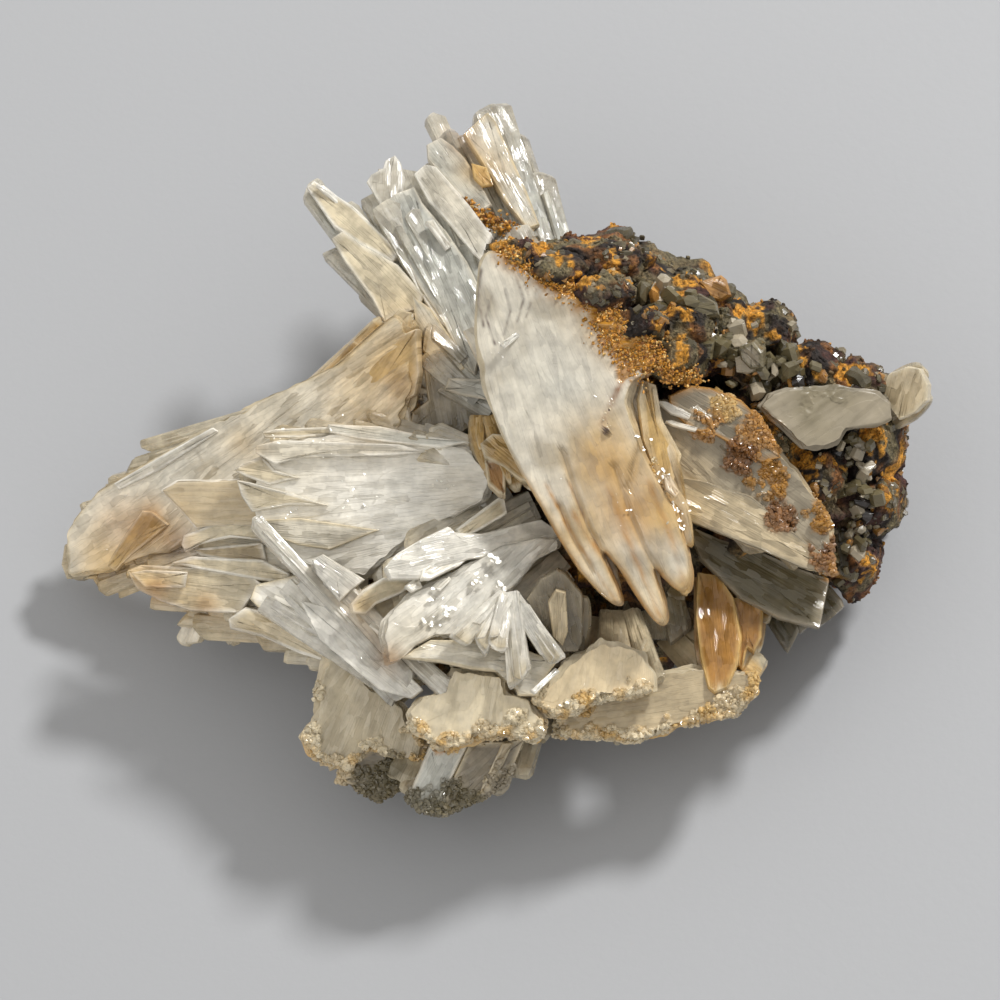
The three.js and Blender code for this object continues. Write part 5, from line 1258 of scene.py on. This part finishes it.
def barite(name, gloss=(0.04, 0.2), line_share=1.0):
    """Barite, also called heavy spar, grown as blades from warm water. Each blade is a bundle of narrow
    glassy strips that lean a little apart and so flash one by one. Its inside is clouded by healed cracks.
    gloss is the roughness of the smoothest strip and of the dullest."""
    material, tree, output = fresh_material(name)
    shape = bpy.context.scene.barite_shape
    tint, lucid, growth = (add(tree, "Attribute", {}, attribute_name=held) for held in ("tint", "clear", "growth"))
    pattern = growth.outputs["Vector"]
    # Growth is held in millimetres, so the scale across the blade is one over the width of a strip. A strip
    # is about 1.7 mm long.
    pitch = 0.001 / shape.growth_line
    drawn = add(tree, "Mapping", {"Vector": pattern, "Scale": (0.6, pitch, 1)})
    strip = add(tree, "TexVoronoi", {"Vector": drawn, "Scale": 1.0}, voronoi_dimensions="2D", distance="CHEBYCHEV")
    offset = add(tree, "VectorMath", {0: drawn, 1: strip.outputs["Position"]}, operation="SUBTRACT")
    lean = add(tree, "VectorMath", {0: strip.outputs["Color"], 1: (0.5, 0.5, 0.5)}, operation="SUBTRACT")
    slant = add(tree, "VectorMath", {0: offset, 1: lean}, operation="DOT_PRODUCT")
    # Hair-thin growth lines run along the strips, a fifth of a strip apart.
    fine = add(tree, "Mapping", {"Vector": pattern, "Scale": (0.25, 5 * pitch, 1)})
    lines = add(tree, "TexNoise", {"Vector": fine, "Scale": 1.0, "Detail": 1.0}, noise_dimensions="2D")
    relief = add(tree, "Math", {0: lines, 1: 0.12, 2: slant.outputs["Value"]}, operation="MULTIPLY_ADD")
    # The third number of growth says how plainly the strips show, from 0 on a cloudy face to 1.
    plain = add(tree, "SeparateXYZ", {0: pattern}).outputs[2]
    height = add(tree, "Math", {0: relief, 1: plain}, operation="MULTIPLY")
    bump = add(tree, "Bump", {"Height": height, "Strength": line_share, "Distance": shape.growth_relief})
    parted = add(tree, "SeparateColor", {0: strip.outputs["Color"]})
    darker = add(tree, "Math", {0: plain, 1: -0.1, 2: 1.05}, operation="MULTIPLY_ADD")
    bright = add(tree, "MapRange", {"Value": parted, "To Min": darker, "To Max": 1.05})
    # Clouds of healed cracks, 2 mm wide and ever finer, whiten the inside and dull what shows through it.
    cloud = add(tree, "TexNoise", {"Vector": pattern, "Scale": 0.5, "Detail": 3.0, "Roughness": 0.6},
                noise_dimensions="2D")
    mottle = add(tree, "MapRange", {"Value": cloud, "From Min": 0.3, "From Max": 0.7, "To Min": 0.93, "To Max": 1.06})
    bright = add(tree, "Math", {0: bright, 1: mottle}, operation="MULTIPLY")
    thin, thick = (add(tree, "Math", {0: plain, 1: veil}, operation="MULTIPLY") for veil in (0.1, -0.1))
    veiled = add(tree, "MapRange", {"Value": cloud, "From Min": 0.35, "From Max": 0.65, "To Min": thin,
                                    "To Max": thick})
    shade = add(tree, "Mix", {0: 1.0, 6: tint, 7: bright}, data_type="RGBA", blend_type="MULTIPLY")
    through = add(tree, "Math", {0: lucid.outputs["Fac"], 1: shape.clearness, 2: veiled},
                  operation="MULTIPLY_ADD", use_clamp=True)
    dull = add(tree, "MapRange", {"Value": parted.outputs[1], "To Min": gloss[0], "To Max": gloss[1]})
    skin = add(tree, "BsdfPrincipled", {"Base Color": shade.outputs[2], "Roughness": dull, "IOR": BARITE_IOR,
                                        "Transmission Weight": through, "Normal": bump})
    tree.links.new(skin.outputs[0], output.inputs["Surface"])
    return material


def iron_rock(name):
    """Goethite and limonite, the rusty broken rock: dull and pitted, with ochre powder in its hollows and small glossy
    specks of black oxide. Its colour also carries painted light on its raised grains and painted shade between them."""
    material, tree, output = fresh_material(name)
    tint = add(tree, "Attribute", {}, attribute_name="tint")
    spot = add(tree, "TexCoord", {}).outputs["Object"]
    # Grains of about 0.3 mm, with pits of 0.8 mm between them.
    grain = add(tree, "TexNoise", {"Vector": spot, "Scale": 3200.0, "Detail": 4.0, "Roughness": 0.7})
    pits = add(tree, "TexVoronoi", {"Vector": spot, "Scale": 1200.0})
    depth = add(tree, "Math", {0: grain, 1: pits}, operation="ADD")
    # Painted light and shade: the colour is brightened up to 2.4 times on the raised grains and darkened to 0.4 times
    # between them, by the same noise that raises the bump.
    light = add(tree, "MapRange", {"Value": grain, "From Min": 0.35, "From Max": 0.68, "To Min": 0.4, "To Max": 2.4})
    shade = add(tree, "Mix", {0: 1.0, 6: tint, 7: light}, data_type="RGBA", blend_type="MULTIPLY")
    dull = add(tree, "MapRange", {"Value": pits, "From Min": 0.1, "From Max": 0.5, "To Min": 0.35, "To Max": 0.85})
    bump = add(tree, "Bump", {"Height": depth, "Strength": 1.0, "Distance": 0.0004})
    skin = add(tree, "BsdfPrincipled", {"Base Color": shade.outputs[2], "Roughness": dull, "Normal": bump})
    tree.links.new(skin.outputs[0], output.inputs["Surface"])
    return material


def studio_floor(name, base):
    """A sheet of matt painted board: pale, even and slightly mottled by fibres of about 0.7 mm."""
    material, tree, output = fresh_material(name)
    spot = add(tree, "TexCoord", {}).outputs["Object"]
    fibre = add(tree, "TexNoise", {"Vector": spot, "Scale": 1400.0, "Detail": 3.0})
    dull = add(tree, "MapRange", {"Value": fibre, "To Min": 0.5, "To Max": 0.7})
    bump = add(tree, "Bump", {"Height": fibre, "Strength": 0.15, "Distance": 0.0001})
    skin = add(tree, "BsdfPrincipled", {"Base Color": (*base, 1), "Roughness": dull, "Normal": bump})
    tree.links.new(skin.outputs[0], output.inputs["Surface"])
    return material


def slot_material(slot):
    """The material that dresses a slot of the record. Barite that grew over the dark rock is duller."""
    if slot == "iron_oxide_rock":
        return iron_rock("limonite_goethite_rock")
    if slot == "smoky_barite":
        return barite("smoky_barite_over_rock", gloss=(0.12, 0.35))
    return barite(slot)


def make_piece(name, parts, slot, nodes=(), material=None):
    """Puts closed shells into one mesh with its tint, clearness and growth-line attributes. The piece rides
    on the one body and stands for the named solids. Its material is its slot's, unless one is given."""
    points, values, faces, rounded = joined(parts)
    mesh = bpy.data.meshes.new(name)
    mesh.vertices.add(len(points))
    mesh.vertices.foreach_set("co", points.astype(np.float32).ravel())
    mesh.loops.add(faces.size)
    mesh.loops.foreach_set("vertex_index", faces.astype(np.int32).ravel())
    mesh.polygons.add(len(faces))
    mesh.polygons.foreach_set("loop_start", np.arange(0, faces.size, 3, dtype=np.int32))
    mesh.polygons.foreach_set("use_smooth", rounded)
    mesh.update(calc_edges=True)
    tint = np.concatenate([np.clip(values[:, :3], 0, 1), np.ones((len(values), 1))], axis=1)
    for held, kind, key, numbers in (
        ("tint", "FLOAT_COLOR", "color", tint),
        ("clear", "FLOAT", "value", values[:, 3]),
        ("growth", "FLOAT_VECTOR", "vector", values[:, 4:7]),
    ):
        mesh.attributes.new(held, kind, "POINT").data.foreach_set(key, numbers.astype(np.float32).ravel())
    mesh.materials.append(material or slot_material(slot))
    piece = bpy.data.objects.new(name, mesh)
    bpy.context.scene.collection.objects.link(piece)
    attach(piece, "root")
    if nodes:
        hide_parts(*nodes)
    return piece


def aim(thing, spot, target):
    """Puts a lamp or camera at a spot, looking at a target with its top upward."""
    back = np.array(spot, float) - np.array(target, float)
    thing.location = spot
    thing.rotation_euler = Vector(-back).to_track_quat("-Z", "Y").to_euler()


class BARITE_OT_studio(bpy.types.Operator):
    """Lays the pale floor, lights it and sets the camera over the show face."""

    bl_idname = "barite.studio"
    bl_label = "Studio"

    def execute(self, context):
        scene = context.scene
        mesh = bpy.data.meshes.new("studio_floor")
        grid = np.linspace(-FLOOR_REACH, FLOOR_REACH, 5)
        x, y = np.meshgrid(grid, grid)
        corner = (np.arange(4)[:, None] * 5 + np.arange(4)).ravel()
        faces = np.stack([corner, corner + 1, corner + 6, corner + 5], axis=-1)
        mesh.from_pydata(np.stack([x, y, 0 * x - FLOOR_DROP], axis=-1).reshape(-1, 3).tolist(), [], faces.tolist())
        mesh.materials.append(studio_floor("matt_painted_board", tuple(scene.barite_colours.floor)))
        floor = bpy.data.objects.new("studio_floor", mesh)
        scene.collection.objects.link(floor)

        target = FACE_ORIGIN / 1000
        camera = bpy.data.cameras.new("show_camera")
        camera.lens, camera.sensor_width, camera.clip_start = LENS, SENSOR, 0.05
        viewer = bpy.data.objects.new("show_camera", camera)
        scene.collection.objects.link(viewer)
        aim(viewer, target + OUTWARD, target)
        scene.camera = viewer

        for name, direction, size, power in LAMPS:
            lamp = bpy.data.lights.new(name, "AREA")
            lamp.shape, lamp.size, lamp.energy = "DISK", size, power
            holder = bpy.data.objects.new(name, lamp)
            scene.collection.objects.link(holder)
            aim(holder, target + np.array(direction) * LAMP_DISTANCE, target)
        world = bpy.data.worlds.new("studio_air")
        world.use_nodes = True
        air = world.node_tree.nodes["Background"].inputs
        air["Color"].default_value, air["Strength"].default_value = AIR_COLOUR, AIR_STRENGTH
        scene.world = world
        scene.view_settings.view_transform = "Standard"
        return {"FINISHED"}


class BARITE_OT_rock(bpy.types.Operator):
    """Builds the rough iron-oxide rock, the blocky crystals on it and the crumbs that coat it."""

    bl_idname = "barite.rock"
    bl_label = "Rock"

    def execute(self, context):
        palette = tones()
        size = context.scene.barite_shape.rock_grain * 1000
        half = len(ROCK_LUMPS) // 2
        for name, lumps in (("rough_rock", ROCK_LUMPS[:half]), ("rock_lumps", ROCK_LUMPS[half:])):
            make_piece(name, [lump_shells(lumps, palette)], "iron_oxide_rock", ["matrix"])
        crystals, crumbs = rock_coat(size, palette)
        blocky = [("olive", 6), ("smoky", 2), ("amber", 1), ("goethite", 1)]
        make_piece("rock_crystals", [
            sheaf(ROCK_CRYSTALS, palette, 3, core="olive", tip="olive", rim="olive", splay=3, clear=(0.4, 0.6),
                  spare=1),
            tablets(ROCK_TABLETS, palette, 9, bevel=0.2),
            crystals,
            trail([(12.5, 18.5, 0.4), (16, 16.5, 1.2), (20, 14, 0.8), (23.5, 12, -0.6), (27.5, 10.5, -1.4)],
                  110, (1.5, 1.5, 0.5), palette, blocky, 7, size * 2.6, 1.5),
            trail([(30, 8, -1.8), (33, 3, -3.8), (32.6, -2, -4.6), (31.4, -6, -5.4)],
                  60, (1, 1.4, 0.5), palette, blocky, 10, size * 1.8, 1.5),
        ], "smoky_barite")
        make_piece("rock_crumbs", [crumbs], "iron_oxide_rock")
        return {"FINISHED"}


class BARITE_OT_main_blade(bpy.types.Operator):
    """Builds the broad milky plate that parts into honey-edged tongues."""

    bl_idname = "barite.main_blade"
    bl_label = "Main blade"

    def execute(self, context):
        palette = tones()
        make_piece("broad_blade", [
            slab(MAIN_SLAB, palette, 11, relief=0.05, step=0.08, clear=(0.24, 0.35), around=900, rough=0.12,
                 rim_wide=0.25, fineness=0.55),
            sheaf(MAIN_BLADE, palette, 12, rim="honey", ragged=0.06, splay=0, lance=0.6, clear=(0.25, 0.6), spare=0,
                  tip_from=0.7, sink=0.9),
            tablets(TONGUES, palette, 13, rim_wide=0.5),
            glints([(15.6, -1, 6, 1.2), (15.9, -2.6, 6.2, 0.7), (14.4, 2.2, 6.2, 0.8), (9.4, 9.2, 6.4, 1),
                    (12.6, 4, 6.2, 2.6), (11, -0.4, 6.1, 2), (0, 13.5, 5.9, 1.4)], 90, palette, 14),
            trail([(9.6, 8.6, 6.4), (9.4, 6.2, 6.3)],
                  60, (0.22, 0.31, 0.08), palette, [("russet", 2), ("cream", 1)], 212, 0.18),
            trail([(13.4, 3.4, 6), (14.6, 0.2, 6), (14.8, -3, 6.2)],
                  130, (0.31, 0.5, 0.16), palette, [("cream", 2), ("honey", 1)], 213, 0.18),
        ], "milky_barite", ["main_blade"])
        return {"FINISHED"}


class BARITE_OT_upper_crystals(bpy.types.Operator):
    """Builds the blue-grey stepped blades, the clear prisms and the blades behind them."""

    bl_idname = "barite.upper_crystals"
    bl_label = "Upper crystals"

    def execute(self, context):
        palette = tones()
        grey = dict(core="blue_grey", tip="milky", rim="milky", spare=2, sink=0.5)
        make_piece("stepped_blades", [
            sheaf(UPPER_LEFT, palette, 21, **grey),
            tablets(UPPER_TABLETS, palette, 24),
        ], "blue_grey_barite", ["upper_left_sheaf"])
        make_piece("upper_prism_group", [
            sheaf(UPPER_PRISMS, palette, 22, **grey),
        ], "blue_grey_barite", ["upper_prisms"])
        make_piece("back_blades", [
            sheaf(BACK_SHEAF, palette, 23, strands=2, tip="beige", rim="milky", spare=2, sink=0.5),
        ], "milky_barite", ["back_sheaf"], slot_material("blue_grey_barite"))
        return {"FINISHED"}


class BARITE_OT_left_wing(bpy.types.Operator):
    """Builds the long striated plate at the left, honey-stained at its right end."""

    bl_idname = "barite.left_wing"
    bl_label = "Left wing"

    def execute(self, context):
        palette = tones()
        make_piece("wing_plate", [
            slab(WING_SLAB, palette, 32, step=0.16, clear=(0.15, 0.3), fineness=1, rough=0.4),
            sheaf(LEFT_WING, palette, 33, strands=3, ragged=0.1, clear=(0.3, 0.6), sink=0.7),
            sheaf(WING_END, palette, 34, core="beige", tip="honey", clear=(0.3, 0.6), spare=2, sink=0.8),
            tablets(WING_TABLETS, palette, 35),
        ], "milky_barite", ["left_wing"])
        return {"FINISHED"}


class BARITE_OT_middle_fan(bpy.types.Operator):
    """Builds the cream fan of fine blades and its clear triangular plate."""

    bl_idname = "barite.middle_fan"
    bl_label = "Middle fan"

    def execute(self, context):
        palette = tones()
        make_piece("fan_blades", [
            slab(CLEAR_TRIANGLE, palette, 41, core="beige", rim="bright", layers=2, rough=0.15, clear=(0.4, 0.3),
                 rim_wide=0.35),
            slab(FAN_SLAB, palette, 43, core="bright", rim="bright", relief=0.06, step=0.1, clear=(0.15, 0.3),
                 fineness=0.6),
            sheaf(MIDDLE_FAN, palette, 42, strands=3, core="bright", ragged=0.1, splay=1.2, clear=(0.35, 0.65),
                  sink=0.7),
            tablets(FAN_TABLETS, palette, 44),
            glints([(-16, 5.7, -0.4, 2), (-20, 5.4, -0.8, 1), (-19, -1, -1.4, 1.6), (-12, 0.4, -0.7, 3),
                    (-5, 2, 0, 1.4)], 60, palette, 45, 0.16),
        ], "milky_barite", ["middle_fan"])
        return {"FINISHED"}


class BARITE_OT_lower_left_blades(bpy.types.Operator):
    """Builds the honey striated blades at the lower left."""

    bl_idname = "barite.lower_left_blades"
    bl_label = "Lower left blades"

    def execute(self, context):
        palette = tones()
        make_piece("honey_blades", [
            sheaf(LOWER_LEFT, palette, 51, strands=2, core="bright", ragged=0.1, splay=1.4, clear=(0.1, 0.35), spare=2,
                  sink=0.4),
            tablets(LEFT_TABLETS, palette, 52),
        ], "honey_barite", ["lower_left_blades"])
        return {"FINISHED"}


class BARITE_OT_front_crystals(bpy.types.Operator):
    """Builds the crossing needle, the bright front fan, the small prisms and the upright crystal."""

    bl_idname = "barite.front_crystals"
    bl_label = "Front crystals"

    def execute(self, context):
        palette = tones()
        make_piece("crossing_prisms", [
            sheaf(CROSSING_BLADES, palette, 61, core="bright", tip="bright", rim="bright", clear=(0.35, 0.7), spare=1),
            tablets(CROSSING_TABLETS, palette, 65),
        ], "blue_grey_barite", ["crossing_blades"])
        make_piece("bright_fan", [
            sheaf(FRONT_FAN, palette, 62, strands=2, ragged=0.08, clear=(0.35, 0.7), sink=1),
            slab(FRONT_FAN_SLAB, palette, 69, core="bright", rim="bright", layers=3, relief=0.1, step=0.2,
                 rim_wide=0.3, fineness=0.9),
            tablets(FRONT_TABLETS, palette, 66, relief=0.06),
            glints([(-5.6, -10.2, 5, 1.2), (-4.6, -9.4, 4.9, 1), (-0.6, -5.4, 3.6, 0.5), (0.1, -7.6, 3.9, 0.5),
                    (-1.8, -7.2, 4, 0.8), (-6.6, -8.2, 4.6, 1.6), (-8.6, -12, 4.8, 2)], 45, palette, 70, 0.34),
        ], "milky_barite", ["front_fan"])
        make_piece("small_prisms", [
            sheaf(FRONT_PRISMS, palette, 63, core="bright", rim="bright", ragged=0, clear=(0.3, 0.6), spare=1),
            tablets(PRISM_TABLETS, palette, 67),
        ], "blue_grey_barite", ["front_prisms"])
        make_piece("upright_tongues", [
            sheaf(UPRIGHT_CRYSTALS, palette, 64, core="smoky", tip="beige", ragged=0, lance=0.35, clear=(0.45, 0.7),
                  spare=0, sink=0.8),
            tablets(UPRIGHT_TABLETS, palette, 68),
        ], "smoky_barite", ["upright_crystals"])
        return {"FINISHED"}


class BARITE_OT_inner_crystals(bpy.types.Operator):
    """Builds the honey cluster under the main blade and the shaded crystals in the gaps."""

    bl_idname = "barite.inner_crystals"
    bl_label = "Inner crystals"

    def execute(self, context):
        palette = tones()
        make_piece("honey_tongues", [
            sheaf(HONEY_CLUSTER, palette, 71, core="honey", tip="honey", ragged=0, clear=(0.4, 0.6), lance=0.5,
                  sink=0.6),
            tablets(CLUSTER_TABLETS, palette, 74),
        ], "honey_barite", ["honey_cluster"])
        make_piece("shaded_blades", [
            sheaf(INNER_CRYSTALS, palette, 72, strands=2, core="blue_grey", tip="blue_grey", clear=(0.45, 0.65),
                  sink=0.4),
            tablets(INNER_TABLETS, palette, 75),
        ], "blue_grey_barite", ["inner_crystals"])
        # The gap blades are olive and smoky: partly their own brown, partly painted shade of the gap.
        make_piece("gap_blades", [
            sheaf(GAP_CRYSTALS, palette, 73, strands=2, core="olive", tip="smoky", rim="smoky", clear=(0.4, 0.7)),
        ], "smoky_barite", ["gap_crystals"])
        return {"FINISHED"}


class BARITE_OT_front_plates(bpy.types.Operator):
    """Builds the plates along the lower edge, each with its sugary skirt, and the prisms under them."""

    bl_idname = "barite.front_plates"
    bl_label = "Front plates"

    def execute(self, context):
        palette = tones()
        for name, plan, blades, node, slot, seed, core, lucid in (
            ("lower_left_ledge", LOWER_LEFT_SLAB, LOWER_LEFT_PLATE, "lower_left_plate", "milky_barite", 81, "cream",
             0.5),
            ("front_ledge", FRONT_SLAB, FRONT_PLATE, "front_plate", "honey_barite", 82, "cream", 0.25),
            ("honey_ledge", HONEY_SLAB, HONEY_PLATE, "honey_plate", "honey_barite", 83, "beige", 0.15),
            ("lower_right_ledge", LOWER_RIGHT_SLAB, LOWER_RIGHT_PLATE, "lower_right_plate", "honey_barite", 84, "beige",
             0.4),
        ):
            parts = [
                slab(plan, palette, seed, core=core, rough=0.35, clear=(lucid, 0.35), rim_wide=0.25, fineness=0.55,
                     step=0.1, grit=1500, skirt=1),
                sheaf(blades, palette, seed + 5, core=core, clear=(0.35, 0.6), spare=1, sink=0.8),
            ]
            if node == "lower_left_plate":
                parts.append(tablets(PLATE_TABLETS, palette, 88, grit=400))
            make_piece(name, parts, slot, [node])
        make_piece("lower_prism_group", [
            sheaf(LOWER_PRISMS, palette, 91, core="blue_grey", tip="beige", clear=(0.4, 0.6), spare=1),
            tablets(LOW_TABLETS, palette, 92, grit=900),
        ], "honey_barite", ["lower_prisms"])
        return {"FINISHED"}


class BARITE_OT_right_side(bpy.types.Operator):
    """Builds the crusted right blades, the dark blades under them, the amber blades and the edge crystal."""

    bl_idname = "barite.right_side"
    bl_label = "Right side"

    def execute(self, context):
        palette = tones()
        make_piece("right_blade_group", [
            slab(RIGHT_SLAB, palette, 101, core="smoky", rim="beige", step=0.12, clear=(0.2, 0.35), fineness=0.6,
                 grit=1200),
            sheaf(RIGHT_BLADES, palette, 102, strands=2, core="smoky", tip="beige", rim="beige", clear=(0.35, 0.6),
                  spare=1, sink=0.8),
            tablets(RIGHT_TABLETS, palette, 107, grit=1200),
        ], "smoky_barite", ["right_blades"])
        make_piece("dark_blades", [
            sheaf(UNDER_BLADES, palette, 103, strands=2, core="olive", tip="olive", rim="smoky", clear=(0.45, 0.65),
                  spare=2),
            tablets(UNDER_TABLETS, palette, 108),
        ], "smoky_barite", ["under_blades"])
        make_piece("amber_blades", [
            sheaf(HANGING_BLADES, palette, 104, core="amber", tip="honey", ragged=0, lance=0.5, clear=(0.4, 0.6),
                  spare=1, sink=0.5),
            tablets(HANGING_TABLETS, palette, 109),
        ], "honey_barite", ["hanging_blades"])
        make_piece("edge_tongues", [
            sheaf(EDGE_CRYSTAL, palette, 105, core="beige", ragged=0, lance=0.35, clear=(0.4, 0.6), spare=0, sink=0.4),
            tablets(EDGE_TABLETS, palette, 110),
        ], "honey_barite", ["edge_crystal"])
        make_piece("speckled_plate", [
            slab(CRUST_SLAB, palette, 106, core="smoky", rim="smoky", layers=3, clear=(0.1, 0.3), step=0.06),
        ], "iron_oxide_rock", ["crust_plate"], barite("crusted_barite", gloss=(0.3, 0.6), line_share=0.5))
        return {"FINISHED"}


class BARITE_OT_crusts(bpy.types.Operator):
    """Strews grains of limonite along the ridge of the main blade and over the upper prisms."""

    bl_idname = "barite.crusts"
    bl_label = "Crusts"

    def execute(self, context):
        palette = tones()
        size = context.scene.barite_shape.druse * 1000
        rusty = [("ochre", 5), ("amber", 3), ("rust", 1.5), ("honey", 2)]
        make_piece("ridge_crust", [
            trail([(0.4, 22.3, 6.1), (4.5, 19.5, 6.3), (9.2, 16.9, 6.5), (13.3, 13.7, 6.7), (15.2, 11.4, 6.6),
                   (17.6, 11, 5.2)], 3600, (0.45, 0.45, 0.14), palette, rusty, 201, size * 0.7),
            trail([(9.2, 15.8, 6.65), (12, 13.4, 6.7), (12.8, 11.8, 6.7)],
                  1800, (0.8, 0.8, 0.08), palette, rusty, 199, size * 0.65),
            trail([(-4.4, 27.2, -11.5), (-1.6, 25.6, -9.6), (0.5, 24.7, -10), (2.6, 23.8, -10.5)],
                  600, (0.5, 0.4, 0.2), palette, rusty, 202, size * 0.9),
        ], "iron_oxide_rock")
        return {"FINISHED"}


class BARITE_PT_panel(bpy.types.Panel):
    """Lists the pieces of the cluster and the colours and sizes that they read."""

    bl_idname = "BARITE_PT_panel"
    bl_label = "Barite Crystal Cluster"
    bl_space_type = "VIEW_3D"
    bl_region_type = "UI"
    bl_category = "Barite"

    def draw(self, context):
        for piece in PIECES:
            self.layout.operator(piece.bl_idname)
        for group in (context.scene.barite_colours, context.scene.barite_shape):
            for name in type(group).__annotations__:
                self.layout.prop(group, name)


PIECES = (
    BARITE_OT_studio, BARITE_OT_rock, BARITE_OT_main_blade, BARITE_OT_upper_crystals, BARITE_OT_left_wing,
    BARITE_OT_middle_fan, BARITE_OT_lower_left_blades, BARITE_OT_front_crystals, BARITE_OT_inner_crystals,
    BARITE_OT_front_plates, BARITE_OT_right_side, BARITE_OT_crusts,
)
CLASSES = (BariteColours, BariteShape, *PIECES, BARITE_PT_panel)


def register():
    """Adds the classes and the settings that the pieces read."""
    for entry in CLASSES:
        bpy.utils.register_class(entry)
    bpy.types.Scene.barite_colours = bpy.props.PointerProperty(type=BariteColours)
    bpy.types.Scene.barite_shape = bpy.props.PointerProperty(type=BariteShape)


def unregister():
    """Takes the settings and the classes away."""
    del bpy.types.Scene.barite_shape
    del bpy.types.Scene.barite_colours
    for entry in reversed(CLASSES):
        bpy.utils.unregister_class(entry)


def main():
    """Builds every piece in order."""
    register()
    for piece in PIECES:
        group, name = piece.bl_idname.split(".")
        getattr(getattr(bpy.ops, group), name)()
    bpy.context.view_layer.update()
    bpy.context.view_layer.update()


if __name__ == "__main__":
    main()
